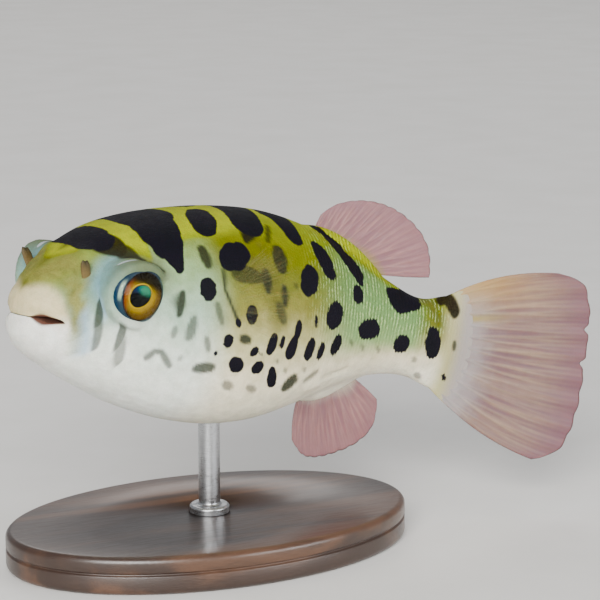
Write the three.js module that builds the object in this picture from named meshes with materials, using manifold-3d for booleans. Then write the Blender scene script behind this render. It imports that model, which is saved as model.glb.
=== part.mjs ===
// A freshwater pufferfish as a still, life-size model on a display stand. Millimetres, +Z up. The
// origin is the middle of the stand's underside. The fish faces -X, so its left side faces -Y, and it
// is built round the point of its spine that stands over the origin.
//
// The body is one closed surface, worked out from a bent spine and a table of cross-sections, and
// parted by thin cuts into snout, head, trunk and tail. Each fin is a fan of curved rays with a skin
// between them.
import * as THREE from "three";
import { ParametricGeometry } from "three/addons/geometries/ParametricGeometry.js";
import { mergeVertices } from "three/addons/utils/BufferGeometryUtils.js";
import Module from "manifold-3d";

const wasm = await Module();
wasm.setup();

// ---- Driving sizes ------------------------------------------------------------------------------

const BODY_LENGTH = 92.5; // tip of the lips to the root of the tail fin, along the spine
const GAP = 0.3; // between neighbouring solids
const HOLD = 42.5; // distance along the spine of the point that stands over the origin
const HOLD_HEIGHT = 44.5; // height of that point above the stand's underside

// Where the named parts end, in distance along the spine
const SNOUT_END = 6.8;
const HEAD_END = 34;
const TRUNK_END = 79;

const EYE = {
  along: 15.6, // distance along the spine
  out: 11.8, // from the middle of the head to the middle of the ball
  up: 4.8, // above the spine
  radius: 5.5,
  opening: 5.2, // radius of the opening in the skin
  down: 3, // degrees that the eye looks below the level of the head
  dome: 6.2, // radius of the skin that bulges round the ball
  soft: 1.2, // how gently the bulge runs into the head
  reach: 12.5, // distance from the ball's middle at which the bulge has gone
};

const STAND = {
  length: 78, // of the oval base, along X
  width: 50,
  height: 7,
  bevel: 1.2,
  rod: 2, // radius
  sink: 4, // how deep the rod goes into the base
};

// ---- Curves -------------------------------------------------------------------------------------

// A smooth curve through [place, value] pairs: cubic pieces whose slope at each pair is taken across
// its neighbours.
function through(pairs) {
  const last = pairs.length - 1;
  const slope = pairs.map((_, i) => {
    const a = pairs[Math.max(i - 1, 0)];
    const b = pairs[Math.min(i + 1, last)];
    return (b[1] - a[1]) / (b[0] - a[0]);
  });
  return (x) => {
    let i = 0;
    while (i < last - 1 && x >= pairs[i + 1][0]) i += 1;
    const [x0, y0] = pairs[i];
    const [x1, y1] = pairs[i + 1];
    const h = x1 - x0;
    const t = THREE.MathUtils.clamp((x - x0) / h, 0, 1);
    const s = t * t * (3 - 2 * t);
    return y0 + (y1 - y0) * s + h * t * (1 - t) * ((1 - t) * slope[i] - t * slope[i + 1]);
  };
}

// ---- Spine --------------------------------------------------------------------------------------

// Heading of the spine in degrees (positive turns the head towards the left side), and how far it
// slopes down towards the tail, by distance along it. The fish is bent as it swims and holds its nose
// up.
const heading = through([[0, 17], [20, 15], [42, 6], [67, -4], [92, -9], [122, -10]]);
const slope = through([[0, 9.5], [22, 9.5], [47, 8], [67, 12], [82, 16], [93, 10], [122, 3]]);

// Axes of the body at a distance along the spine: back is towards the tail, left is out of the left
// side.
function axes(along) {
  const turn = THREE.MathUtils.degToRad(heading(along));
  const dip = THREE.MathUtils.degToRad(slope(along));
  return {
    back: new THREE.Vector3(Math.cos(dip) * Math.cos(turn), Math.cos(dip) * Math.sin(turn), -Math.sin(dip)),
    left: new THREE.Vector3(Math.sin(turn), -Math.cos(turn), 0),
    up: new THREE.Vector3(Math.sin(dip) * Math.cos(turn), Math.sin(dip) * Math.sin(turn), Math.cos(dip)),
  };
}

// The spine's points, a quarter of a millimetre apart, found by adding up its directions.
const SPINE_START = -8;
const SPINE_STEP = 0.25;
const spinePoints = [new THREE.Vector3()];
for (let i = 1; SPINE_START + i * SPINE_STEP <= 130; i += 1) {
  const middle = SPINE_START + (i - 0.5) * SPINE_STEP;
  spinePoints.push(spinePoints[i - 1].clone().addScaledVector(axes(middle).back, SPINE_STEP));
}

function spinePoint(along) {
  const at = (along - SPINE_START) / SPINE_STEP;
  const i = THREE.MathUtils.clamp(Math.floor(at), 0, spinePoints.length - 2);
  return spinePoints[i].clone().lerp(spinePoints[i + 1], at - i);
}

const holdPoint = spinePoint(HOLD);

// The point at a distance along the spine, out of the left side and up from the spine.
function place(along, left, up) {
  const a = axes(along);
  return spinePoint(along).sub(holdPoint).addScaledVector(a.left, left).addScaledVector(a.up, up);
}

// ---- Body ---------------------------------------------------------------------------------------

// Cross-sections from the inside of the mouth, round the lips and back to the tail: distance along the
// spine, height of the top above the spine, depth of the bottom below it, half width, height of the
// widest line, and the power of the rounded section (2 is an ellipse, more is squarer).
const SECTIONS = [
  [5.5, -1.0, 1.0, 0.0, -1.0, 2.0], // end of the mouth
  [3.6, -0.4, 1.7, 5.0, -1.0, 2.0], // throat
  [1.9, -0.6, 1.5, 6.6, -1.0, 2.0], // slit between the lips
  [0.8, 0.4, 2.4, 6.7, -1.2, 2.0], // inner edge of the lips
  [0.5, 2.2, 4.0, 6.7, -1.6, 2.0], // crest of the lips
  [1.5, 4.4, 5.8, 7.0, -2.0, 2.1],
  [4.0, 7.2, 8.1, 8.6, -2.2, 2.15], // muzzle
  [9.5, 11.2, 10.9, 11.5, -2.0, 2.2], // nostrils
  [16.5, 15.0, 13.9, 14.3, -1.5, 2.3], // eyes
  [24.5, 17.4, 17.0, 16.8, -1.8, 2.25],
  [33.5, 18.9, 19.2, 18.4, -2.5, 2.2], // gills
  [42.5, 19.6, 19.9, 18.8, -3.0, 2.15], // deepest part of the belly
  [51.5, 19.2, 18.8, 17.6, -3.0, 2.1],
  [60.5, 17.0, 15.8, 14.8, -2.5, 2.1], // vent, and front of the back fin
  [68.5, 13.6, 12.2, 11.4, -2.0, 2.1],
  [76.5, 10.0, 8.9, 8.4, -1.0, 2.1],
  [84.5, 7.7, 7.4, 5.8, 0.0, 2.1], // narrowest part of the tail
  [BODY_LENGTH, 9.0, 9.0, 2.2, 0.0, 2.0], // root of the tail fin
];
const LIP_CREST = 4; // row of SECTIONS where the outer skin starts
const [along, top, bottom, half, widest, power] = [0, 1, 2, 3, 4, 5].map((column) =>
  through(SECTIONS.map((row, i) => [i, row[column]])),
);
const outer = SECTIONS.slice(LIP_CREST);
const [topAt, bottomAt, halfAt, widestAt, powerAt] = [1, 2, 3, 4, 5].map((column) =>
  through(outer.map((row) => [row[0], row[column]])),
);

const MOUTH_SETBACK = 3.4; // how far the corners of the mouth lie behind its middle
const SETBACK_END = 9; // row of SECTIONS where the setback has faded out
const TAIL_ROUND = 1.8; // how far the tail's root curves forward at its top and bottom

// The fleshy keels that carry the back fin and the belly fin: where they start and end, their height
// and half width.
const BACK_KEEL = { from: 59.5, to: 76, height: 2.0, half: 1.9 };
const BELLY_KEEL = { from: 62.5, to: 76.5, height: 2.8, half: 2.4 };

function keel(size, s, y) {
  const t = THREE.MathUtils.clamp((s - size.from) / (size.to - size.from), 0, 1);
  return size.height * Math.sin(Math.PI * t) ** 0.8 * Math.exp(-((y / size.half) ** 2));
}

// Axes of an eye: middle of the ball, direction that it looks in, and which side it is on (1 left, -1
// right).
function eyeAxes(side) {
  const a = axes(EYE.along);
  const down = THREE.MathUtils.degToRad(EYE.down);
  return {
    side,
    middle: place(EYE.along, side * EYE.out, EYE.up),
    look: a.left.clone().multiplyScalar(side * Math.cos(down)).addScaledVector(a.up, -Math.sin(down)),
  };
}

const eyes = [eyeAxes(1), eyeAxes(-1)];

// Pushes a point of the head out from the middle of the eye on its side, to the dome of skin round the
// ball.
function bulge(point, y, grow) {
  const eye = y > 0 ? eyes[0] : eyes[1];
  const from = point.clone().sub(eye.middle);
  const distance = from.length();
  const dome = EYE.dome + grow;
  const pushed = 0.5 * (distance + dome + Math.hypot(distance - dome, EYE.soft));
  const fade = 1 - THREE.MathUtils.smoothstep(distance, EYE.dome, EYE.reach);
  return point.addScaledVector(from.normalize(), (pushed - distance) * fade);
}

// The skin at row (a number along SECTIONS) and angle (from the left side, over the back), grown by a
// thickness.
function skin(row, angle, grow) {
  const c = Math.cos(angle);
  const q = Math.sin(angle);
  const n = 2 / power(row);
  const middle = widest(row);
  const high = top(row) + grow - middle;
  const low = bottom(row) + grow + middle;
  const y = (half(row) + grow) * Math.sign(c) * Math.abs(c) ** n;
  let s = along(row);
  let z = middle + (q >= 0 ? high : -low) * Math.abs(q) ** n;
  z += q >= 0 ? keel(BACK_KEEL, s, y) : -keel(BELLY_KEEL, s, y);
  const fade = THREE.MathUtils.clamp(1 - (row - LIP_CREST) / (SETBACK_END - LIP_CREST), 0, 1);
  s += MOUTH_SETBACK * fade * c * c * Math.min(half(row) / 7.2, 1);
  const rear = THREE.MathUtils.smoothstep(row, SECTIONS.length - 2, SECTIONS.length - 1);
  s += rear * (grow - TAIL_ROUND * (z / 9) ** 2);
  const point = place(s, y, z);
  return s > 0 && s < EYE.along + EYE.reach + 3 ? bulge(point, y, grow) : point;
}

// ---- Solids -------------------------------------------------------------------------------------

// A closed geometry as a solid that manifold-3d can join and cut.
function solid(geometry) {
  const bare = new THREE.BufferGeometry();
  bare.setAttribute("position", geometry.getAttribute("position"));
  bare.setIndex(geometry.getIndex());
  const merged = mergeVertices(bare, 1e-3);
  const faces = [];
  const index = merged.getIndex().array;
  for (let i = 0; i < index.length; i += 3) {
    const [a, b, c] = [index[i], index[i + 1], index[i + 2]];
    if (a !== b && b !== c && c !== a) faces.push(a, b, c);
  }
  return new wasm.Manifold(
    new wasm.Mesh({
      numProp: 3,
      vertProperties: new Float32Array(merged.getAttribute("position").array),
      triVerts: new Uint32Array(faces),
    }),
  );
}

// A geometry moved so that its own axes lie along the three given directions at a point.
function stood(geometry, x, y, z, point) {
  return geometry.applyMatrix4(new THREE.Matrix4().makeBasis(x, y, z).setPosition(point));
}

// The whole body, from the end of the mouth to the root of the tail fin, with both ends closed.
const ROWS = 51;
const ROUND = 34;

function bodySolid(grow) {
  const last = SECTIONS.length - 1;
  const surface = (v, u, target) => {
    const i = u * (ROWS + 2) - 1;
    if (i < -0.5) target.copy(place(SECTIONS[0][0] + grow, 0, -1));
    else if (i > ROWS + 0.5) target.copy(place(BODY_LENGTH + grow, 0, 0));
    else target.copy(skin((i / ROWS) * last, -v * 2 * Math.PI, grow));
  };
  return solid(new ParametricGeometry(surface, ROUND, ROWS + 2));
}

const body = bodySolid(0);
const clearance = bodySolid(GAP);

// A block that fills everything on the tail side of a cut across the spine.
function behind(s) {
  const size = 200;
  const a = axes(s);
  const block = new THREE.BoxGeometry(size, size, size).translate(size / 2, 0, 0);
  return solid(stood(block, a.back, a.left.clone().negate(), a.up, place(s, 0, 0)));
}

// ---- Fins ---------------------------------------------------------------------------------------

const FIN_THICKNESS = 0.7;

// A fin from its fan of rays, counted from the top ray down, or from front to back on the fish's back.
// ray(t, r) gives the point at the share r of the length of ray t (0 to 1), and side is the direction
// across the fin. The closed surface goes out over one face and back over the other.
function fin(ray, side, rays, steps) {
  const surface = (v, u, target) => {
    const round = v * 2 * Math.PI;
    const t = 0.5 - 0.5 * Math.cos(round);
    const r = THREE.MathUtils.clamp((u * (steps + 2) - 1) / steps, 0, 1);
    const capped = u < 0.5 / (steps + 2) || u > 1 - 0.5 / (steps + 2);
    const thickness = capped ? 0 : FIN_THICKNESS * (1.3 - 0.6 * r);
    const edge = Math.sign(Math.sin(round)) * Math.abs(Math.sin(round)) ** 0.35;
    target.copy(ray(t, r)).addScaledVector(side(t), 0.5 * thickness * edge);
  };
  return solid(new ParametricGeometry(surface, rays * 2, steps + 2)).subtract(clearance);
}

// A ray as an arc: it starts at an angle (degrees, from the tail's direction towards up), turns as it
// goes out, and ends after a length. The result is how far back and how far up the ray has gone.
function arc(start, turn, length, r) {
  const a = THREE.MathUtils.degToRad(start);
  const k = THREE.MathUtils.degToRad(Math.abs(turn) < 0.1 ? 0.1 : turn);
  return {
    back: (length * (Math.sin(a + k * r) - Math.sin(a))) / k,
    up: (length * (Math.cos(a) - Math.cos(a + k * r))) / k,
  };
}

// A fin in the fish's middle plane: root(t) is [distance along the spine, height], the rest are curves
// over t.
function middleFin(root, start, turn, length, rays) {
  const ray = (t, r) => {
    const [s, z] = root(t);
    const a = axes(s);
    const gone = arc(start(t), turn(t), length(t), r);
    return place(s, 0, z).addScaledVector(a.back, gone.back).addScaledVector(a.up, gone.up);
  };
  return fin(ray, (t) => axes(root(t)[0]).left, rays, 6);
}

const ROOT_DEPTH = 0.8; // how deep the rays start inside the body

const backFin = middleFin(
  (t) => [61.5 + 12.5 * t, topAt(61.5 + 12.5 * t) - ROOT_DEPTH],
  through([[0, 88], [0.3, 62], [0.65, 34], [1, 2]]),
  through([[0, -20], [0.3, -8], [0.6, 8], [1, 10]]),
  through([[0, 4], [0.12, 7.4], [0.35, 11.6], [0.6, 13.8], [0.8, 14.2], [1, 12]]),
  14,
);
const bellyFin = middleFin(
  (t) => [74 - 9.5 * t, ROOT_DEPTH - bottomAt(74 - 9.5 * t)],
  through([[0, -24], [0.3, -56], [0.65, -82], [1, -100]]),
  through([[0, -10], [0.6, 10], [1, 22]]),
  through([[0, 8.5], [0.2, 13.5], [0.5, 14.8], [0.8, 13.8], [1, 10]]),
  14,
);
const tailFin = middleFin(
  (t) => [BODY_LENGTH - 1, 9.4 - 18.8 * t],
  through([[0, 33], [0.25, 12], [0.5, -5], [0.75, -22], [1, -39]]),
  through([[0, -30], [0.12, -16], [0.5, 7], [1, 26]]),
  through([[0, 22.5], [0.06, 26], [0.12, 28.4], [0.25, 30], [0.5, 31], [0.75, 31.8], [0.9, 30.6], [1, 26]]),
  18,
);

// Half width of the body at a height.
function flank(s, z) {
  const middle = widestAt(s);
  const share = z > middle ? (z - middle) / (topAt(s) - middle) : (middle - z) / (bottomAt(s) + middle);
  return halfAt(s) * (1 - Math.min(share, 1) ** powerAt(s)) ** (1 / powerAt(s));
}

// The fins behind the gills. Their rays start along a short slanting line and stand out from the side
// of the body.
function sideFin(side) {
  const start = through([[0, 62], [0.5, 14], [1, -26]]);
  const turn = through([[0, -14], [1, 8]]);
  const length = through([[0, 9.5], [0.2, 12.4], [0.5, 12.2], [0.8, 9.8], [1, 6.5]]);
  const root = (t) => [35.0 + 2.4 * t, 8 - 6.5 * t];
  const ray = (t, r) => {
    const [s, z] = root(t);
    const a = axes(s);
    const gone = arc(start(t), turn(t), length(t), r);
    const out = length(t) * (0.62 * r - 0.22 * r * r);
    return place(s, side * (flank(s, z) - ROOT_DEPTH), z)
      .addScaledVector(a.back, 0.88 * gone.back)
      .addScaledVector(a.up, gone.up)
      .addScaledVector(a.left, side * out);
  };
  const across = (t) => {
    const a = axes(root(t)[0]);
    return a.left.clone().addScaledVector(a.back, -0.5 * side).normalize();
  };
  return fin(ray, across, 14, 6);
}

// ---- Eyes, nostrils and head --------------------------------------------------------------------

function ball(eye, radius) {
  return solid(new THREE.SphereGeometry(radius, 20, 14).translate(...eye.middle.toArray()));
}

// The opening in the skin in front of an eye.
function opening(eye) {
  const length = 12;
  const cylinder = new THREE.CylinderGeometry(EYE.opening, EYE.opening, length, 24);
  cylinder.translate(0, length / 2, 0);
  const turn = new THREE.Quaternion().setFromUnitVectors(new THREE.Vector3(0, 1, 0), eye.look);
  return solid(cylinder.applyQuaternion(turn).translate(...eye.middle.toArray()));
}

// A nostril is a short flap of skin that stands on the snout, in front of the eye.
const NOSTRIL = { along: 8.5, out: 7.8, up: 6.6, length: 0.9, width: 0.7, height: 2.8 };

function nostril(side) {
  const point = place(NOSTRIL.along, side * NOSTRIL.out, NOSTRIL.up);
  const a = axes(NOSTRIL.along);
  const out = a.left.clone().multiplyScalar(0.2 * side).add(a.up).addScaledVector(a.back, -0.5).normalize();
  const across = new THREE.Vector3().crossVectors(out, a.back).normalize();
  const along = new THREE.Vector3().crossVectors(out, across);
  const flap = new THREE.SphereGeometry(1, 10, 6).scale(NOSTRIL.length, NOSTRIL.height, NOSTRIL.width);
  return solid(stood(flap, along, out, across, point)).subtract(clearance);
}

let head = body.subtract(behind(HEAD_END)).intersect(behind(SNOUT_END + GAP));
eyes.forEach((eye) => {
  head = head.subtract(ball(eye, EYE.radius + GAP)).subtract(opening(eye));
});

// ---- Stand --------------------------------------------------------------------------------------

function standBase() {
  const outline = new THREE.Shape();
  outline.absellipse(0, 0, STAND.length / 2 - STAND.bevel, STAND.width / 2 - STAND.bevel, 0, 2 * Math.PI);
  const plate = new THREE.ExtrudeGeometry(outline, {
    depth: STAND.height - 2 * STAND.bevel,
    curveSegments: 20,
    bevelThickness: STAND.bevel,
    bevelSize: STAND.bevel,
    bevelSegments: 2,
  }).translate(0, 0, STAND.bevel);
  const reach = STAND.sink + GAP;
  const hole = new THREE.CylinderGeometry(STAND.rod + GAP, STAND.rod + GAP, 2 * reach, 24)
    .rotateX(Math.PI / 2)
    .translate(0, 0, STAND.height);
  return solid(plate).subtract(solid(hole));
}

function standRod() {
  const foot = STAND.height - STAND.sink;
  const length = HOLD_HEIGHT - foot;
  const rod = new THREE.CylinderGeometry(STAND.rod, STAND.rod, length, 24)
    .rotateX(Math.PI / 2)
    .translate(0, 0, foot + length / 2);
  return solid(rod).subtract(clearance.translate([0, 0, HOLD_HEIGHT]));
}

// ---- The model ----------------------------------------------------------------------------------

const finish = (color, roughness, metalness = 0) =>
  new THREE.MeshStandardMaterial({ color, roughness, metalness });

const FINISHES = {
  pale: finish(0xe4ded4, 0.45),
  flank: finish(0xb9c48f, 0.45),
  fin: finish(0xd8c0b4, 0.4),
  eye: finish(0xc88a1c, 0.15),
  wood: finish(0x3a2a20, 0.4),
  steel: finish(0xb8bcc0, 0.3, 1),
};

function piece(name, made, material) {
  const cut = made.getMesh();
  const geometry = new THREE.BufferGeometry();
  geometry.setAttribute("position", new THREE.BufferAttribute(cut.vertProperties, 3));
  geometry.setIndex(new THREE.BufferAttribute(cut.triVerts, 1));
  geometry.computeVertexNormals();
  const mesh = new THREE.Mesh(geometry, material);
  mesh.name = name;
  return mesh;
}

const fish = new THREE.Group();
fish.position.z = HOLD_HEIGHT;
fish.add(
  piece("snout", body.subtract(behind(SNOUT_END)), FINISHES.pale),
  piece("head", head, FINISHES.pale),
  piece("trunk", body.intersect(behind(HEAD_END + GAP)).subtract(behind(TRUNK_END)), FINISHES.flank),
  piece("tail", body.intersect(behind(TRUNK_END + GAP)), FINISHES.flank),
  piece("fin_back", backFin, FINISHES.fin),
  piece("fin_belly", bellyFin, FINISHES.fin),
  piece("fin_tail", tailFin, FINISHES.fin),
);
["left", "right"].forEach((name, i) => {
  const { side } = eyes[i];
  fish.add(
    piece(`fin_${name}`, sideFin(side), FINISHES.fin),
    piece(`eye_${name}`, ball(eyes[i], EYE.radius), FINISHES.eye),
    piece(`nostril_${name}`, nostril(side), FINISHES.flank),
  );
});

const stand = new THREE.Group();
stand.add(piece("stand_base", standBase(), FINISHES.wood), piece("stand_rod", standRod(), FINISHES.steel));

const group = new THREE.Group();
group.add(fish, stand);

export default group;
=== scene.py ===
import bpy
import numpy as np
from mathutils import Matrix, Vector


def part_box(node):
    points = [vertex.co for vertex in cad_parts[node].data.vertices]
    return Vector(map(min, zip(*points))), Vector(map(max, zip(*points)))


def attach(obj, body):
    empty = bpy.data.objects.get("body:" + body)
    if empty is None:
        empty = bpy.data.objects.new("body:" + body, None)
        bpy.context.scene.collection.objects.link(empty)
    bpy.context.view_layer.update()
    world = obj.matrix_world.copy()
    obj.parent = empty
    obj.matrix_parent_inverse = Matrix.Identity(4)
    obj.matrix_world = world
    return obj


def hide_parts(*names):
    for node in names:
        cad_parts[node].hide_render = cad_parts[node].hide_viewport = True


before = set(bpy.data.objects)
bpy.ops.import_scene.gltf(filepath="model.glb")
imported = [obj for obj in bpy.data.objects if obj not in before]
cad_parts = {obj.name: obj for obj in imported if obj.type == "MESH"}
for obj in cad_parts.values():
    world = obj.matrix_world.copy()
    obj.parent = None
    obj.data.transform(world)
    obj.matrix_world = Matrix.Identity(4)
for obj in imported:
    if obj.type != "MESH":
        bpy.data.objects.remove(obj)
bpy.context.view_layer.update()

# ---- Base of the stand --------------------------------------------------------------------------
# An oval plate of dark walnut, turned with a rounded edge and one fine groove round its side, and
# lacquered satin. A hole in its middle takes the rod. It stands flat on the floor.

MM = 0.001
EDGE = 1.2  # radius of the rounded edges
GROOVE = 0.35  # depth of the groove round the side


def closed_mesh(name, rings, values=None):
    """A closed mesh from rings[i, j] in millimetres. Each ring is a closed loop, and neighbouring rings are
    joined by four-sided faces. Points that fall together, where a ring shrinks to a point or a line, become
    one. The faces are turned round if the volume inside them comes out negative. values holds numbers or
    vectors for each point, stored under their names."""
    count, around = rings.shape[:2]
    flat = rings.reshape(-1, 3)
    _, first, same = np.unique(np.round(flat * 1e4), axis=0, return_index=True, return_inverse=True)
    same = same.reshape(count, around)
    beside = np.roll(same, -1, axis=1)
    faces = np.stack([same[:-1], beside[:-1], beside[1:], same[1:]], -1).reshape(-1, 4)
    points = flat[first]
    a, b, c, d = (points[faces[:, k]] for k in range(4))
    if np.einsum("ij,ij->", a, np.cross(b, c) + np.cross(c, d)) < 0:
        faces = faces[:, ::-1]
    corner_kept = faces != np.roll(faces, -1, axis=1)
    corner_kept &= (corner_kept.sum(axis=1) > 2)[:, None]
    corners = corner_kept.sum(axis=1)
    corners = corners[corners > 0]
    mesh = bpy.data.meshes.new(name)
    mesh.vertices.add(len(points))
    mesh.vertices.foreach_set("co", (points * MM).ravel())
    mesh.loops.add(int(corners.sum()))
    mesh.loops.foreach_set("vertex_index", faces[corner_kept])
    mesh.polygons.add(len(corners))
    mesh.polygons.foreach_set("loop_start", np.cumsum(corners) - corners)
    mesh.update(calc_edges=True)
    mesh.shade_smooth()
    for key, value in (values or {}).items():
        value = np.asarray(value, float)
        kind, field = ("FLOAT_VECTOR", "vector") if value.ndim == 3 else ("FLOAT", "value")
        stored = mesh.attributes.new(key, kind, "POINT")
        stored.data.foreach_set(field, value.reshape(len(flat), -1)[first].ravel())
    made = bpy.data.objects.new(name, mesh)
    bpy.context.collection.objects.link(made)
    return made


def srgb(red, green, blue):
    """A colour for a shader from its 0 to 255 display values: ((v + 0.055) / 1.055) to the power 2.4."""
    share = np.array([red, green, blue]) / 255
    return (*np.where(share > 0.04, ((share + 0.055) / 1.055) ** 2.4, share / 12.92).tolist(), 1.0)


def node(tree, kind, values=None, **settings):
    """A shader node. values maps its inputs to constants or to another node's output."""
    made = tree.nodes.new("ShaderNode" + kind)
    for name, value in settings.items():
        setattr(made, name, value)
    for name, value in (values or {}).items():
        if isinstance(value, bpy.types.NodeSocket):
            tree.links.new(value, made.inputs[name])
        else:
            made.inputs[name].default_value = value
    return made


def mix(tree, share, first, second, blend="MIX"):
    """The colour between two colours, by a share from 0 to 1."""
    made = node(tree, "Mix", data_type="RGBA", blend_type=blend)
    for place, value in ((0, share), (6, first), (7, second)):
        if isinstance(value, bpy.types.NodeSocket):
            tree.links.new(value, made.inputs[place])
        else:
            made.inputs[place].default_value = value
    return made.outputs[2]


def richer(tree, colour, factor):
    """The colour with its saturation multiplied by a factor."""
    return node(tree, "HueSaturation", {"Color": colour, "Saturation": factor}).outputs[0]


def maths(tree, operation, *values):
    """One sum on numbers or outputs."""
    return node(tree, "Math", dict(enumerate(values)), operation=operation, use_clamp=False).outputs[0]


def spread(tree, value, low, high, to_low=0.0, to_high=1.0):
    """value carried smoothly from the range low..high to to_low..to_high, and held beyond its ends."""
    settings = {0: value, 1: low, 2: high, 3: to_low, 4: to_high}
    return node(tree, "MapRange", settings, interpolation_type="SMOOTHSTEP").outputs[0]


def noise(tree, where, scale, detail=3.0, roughness=0.55):
    """Soft noise from 0 to 1; scale is in patches for each unit of where."""
    values = {"Vector": where, "Scale": scale, "Detail": detail, "Roughness": roughness}
    return node(tree, "TexNoise", values).outputs[0]


def ramp(tree, value, *stops):
    """A colour by value, through (place, colour) stops."""
    made = node(tree, "ValToRGB", {0: value})
    elements = made.color_ramp.elements
    elements.remove(elements[1])
    for i, (place, colour) in enumerate(stops):
        element = elements[0] if i == 0 else elements.new(place)
        element.position = place
        element.color = colour
    return made.outputs[0]


def material(name, **constants):
    """A material with one Principled shader. constants are its inputs that are the same all over."""
    made = bpy.data.materials.new(name)
    made.use_nodes = True
    shader = made.node_tree.nodes["Principled BSDF"]
    for key, value in constants.items():
        shader.inputs[key.replace("_", " ")].default_value = value
    return made, made.node_tree, shader


def relief(tree, shader, height, depth):
    """A bump on the shader from a height of 0 to 1 that stands for a depth in millimetres."""
    bump = node(tree, "Bump", {"Height": height, "Distance": depth * MM, "Strength": 1.0})
    tree.links.new(bump.outputs[0], shader.inputs["Normal"])


def arc(start, end, steps=8):
    """A quarter round as (in, up) pairs of shares: 1 - sin a and 1 - cos a, or the like, for a from start
    to end in degrees."""
    a = np.radians(np.linspace(start, end, steps))
    return np.stack([np.cos(a), np.sin(a)], -1)


def base_rings(low, high, hole):
    """Rings of the oval plate: half length and half width less an inset, by height. The profile runs from
    the middle of the underside out, up the side past the groove, over the top and down into the hole."""
    lower = [(EDGE * (1 - x), EDGE * (1 + z)) for x, z in arc(-90, 0)]
    upper = [(EDGE * (1 - x), high.z / MM - EDGE * (1 - z)) for x, z in arc(0, 90)]
    groove_at = 0.55 * high.z / MM
    dip = [(GROOVE * (0.5 + 0.5 * np.cos(a)), groove_at + 0.14 * a) for a in np.linspace(-np.pi, np.pi, 13)]
    inset, height = np.array(lower + dip + upper).T
    turn = np.linspace(0, 2 * np.pi, 193)[:-1]
    half = np.array([high.x - low.x, high.y - low.y]) / 2 / MM
    sizes = half - inset[:, None]
    closing = np.array([[hole, hole, high.z / MM], [hole, hole, 2.9], [0, 0, 2.9]])
    rows = np.vstack([[[0, 0, 0]], np.column_stack([sizes, height]), closing])
    x = rows[:, :1] * np.cos(turn)
    y = rows[:, 1:2] * np.sin(turn)
    return np.stack([x, y, rows[:, 2:] + 0 * turn], -1)


rod_radius = (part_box("stand_rod")[1].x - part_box("stand_rod")[0].x) / 2 / MM
base = closed_mesh("oval_base", base_rings(*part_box("stand_base"), rod_radius + 0.15))
walnut, tree, shader = material("satin_walnut", Coat_Weight=0.35, Coat_Roughness=0.22)
where = node(tree, "TexCoord").outputs["Object"]
length_wise = node(tree, "Mapping", {"Vector": where, "Scale": (7, 70, 55), "Rotation": (0.1, 0.05, 0.06)})
figure = noise(tree, length_wise.outputs[0], 1.0, 4.0)
rings_of_growth = maths(tree, "SINE", maths(tree, "MULTIPLY", figure, 24.0))
pores = noise(tree, node(tree, "Mapping", {"Vector": where, "Scale": (260, 5200, 5200)}).outputs[0], 1.0)
grain = spread(tree, maths(tree, "ADD", rings_of_growth, maths(tree, "MULTIPLY", pores, 1.6)), -0.6, 2.2)
colour = ramp(tree, grain, (0.0, srgb(42, 27, 19)), (0.55, srgb(58, 38, 26)), (1.0, srgb(78, 52, 35)))
tree.links.new(colour, shader.inputs["Base Color"])
tree.links.new(spread(tree, pores, 0.3, 0.8, 0.3, 0.5), shader.inputs["Roughness"])
relief(tree, shader, pores, 0.03)
base.data.materials.append(walnut)
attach(base, "root")
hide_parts("stand_base")

# ---- Rod of the stand ---------------------------------------------------------------------------
# A straight rod of brushed stainless steel with a turned collar that sits on the base. It is pressed
# into the base and glued into the underside of the belly.

COLLAR = {"radius": 3.7, "height": 1.5, "chamfer": 0.35}


def lathe(profile, around=64):
    """Rings turned round the Z axis from (radius, height) pairs."""
    radius, height = np.array(profile, float).T
    turn = np.linspace(0, 2 * np.pi, around + 1)[:-1]
    x, y = radius[:, None] * np.cos(turn), radius[:, None] * np.sin(turn)
    return np.stack([x, y, height[:, None] + 0 * turn], -1)


rod_low, rod_high = (corner.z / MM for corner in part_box("stand_rod"))
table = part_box("stand_base")[1].z / MM
collar_top = table + COLLAR["height"]
rod_profile = [
    (0, rod_low),
    (rod_radius, rod_low),
    (rod_radius, table),
    (COLLAR["radius"], table),
    (COLLAR["radius"], collar_top - COLLAR["chamfer"]),
    (COLLAR["radius"] - COLLAR["chamfer"], collar_top),
    (rod_radius + 0.3, collar_top),
    (rod_radius, collar_top + 0.3),
    *[(rod_radius, z) for z in np.linspace(collar_top + 1, rod_high + 0.7, 12)],
    (0, rod_high + 0.7),
]
rod = closed_mesh("steel_rod", lathe(rod_profile))
rod.data.shade_flat()
bevel = rod.modifiers.new("soft edges", "BEVEL")
bevel.width = 0.08 * MM
bevel.segments = 2
bevel.limit_method = "ANGLE"
steel, tree, shader = material("brushed_steel", Metallic=1.0)
where = node(tree, "TexCoord").outputs["Object"]
brushed = noise(tree, node(tree, "Mapping", {"Vector": where, "Scale": (900, 900, 26000)}).outputs[0], 1.0)
smears = noise(tree, where, 300.0)
tree.links.new(ramp(tree, brushed, (0.2, srgb(150, 152, 155)), (0.8, srgb(205, 206, 208))), shader.inputs[0])
tree.links.new(spread(tree, maths(tree, "ADD", brushed, smears), 0.6, 1.4, 0.2, 0.42), shader.inputs["Roughness"])
relief(tree, shader, brushed, 0.012)
rod.data.materials.append(steel)
rod.data.polygons.foreach_set("use_smooth", np.ones(len(rod.data.polygons), bool))
rod.data.set_sharp_from_angle(angle=np.radians(30))
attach(rod, "root")
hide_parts("stand_rod")

# ---- Skin of the fish ---------------------------------------------------------------------------
# The body from the inside of the lips to the root of the tail fin. The real skin is thick, slimy and
# scaleless. On the model it is one painted resin casting, with the lids, gill slits and folds modelled
# in it, and it is glued on the rod.

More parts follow.
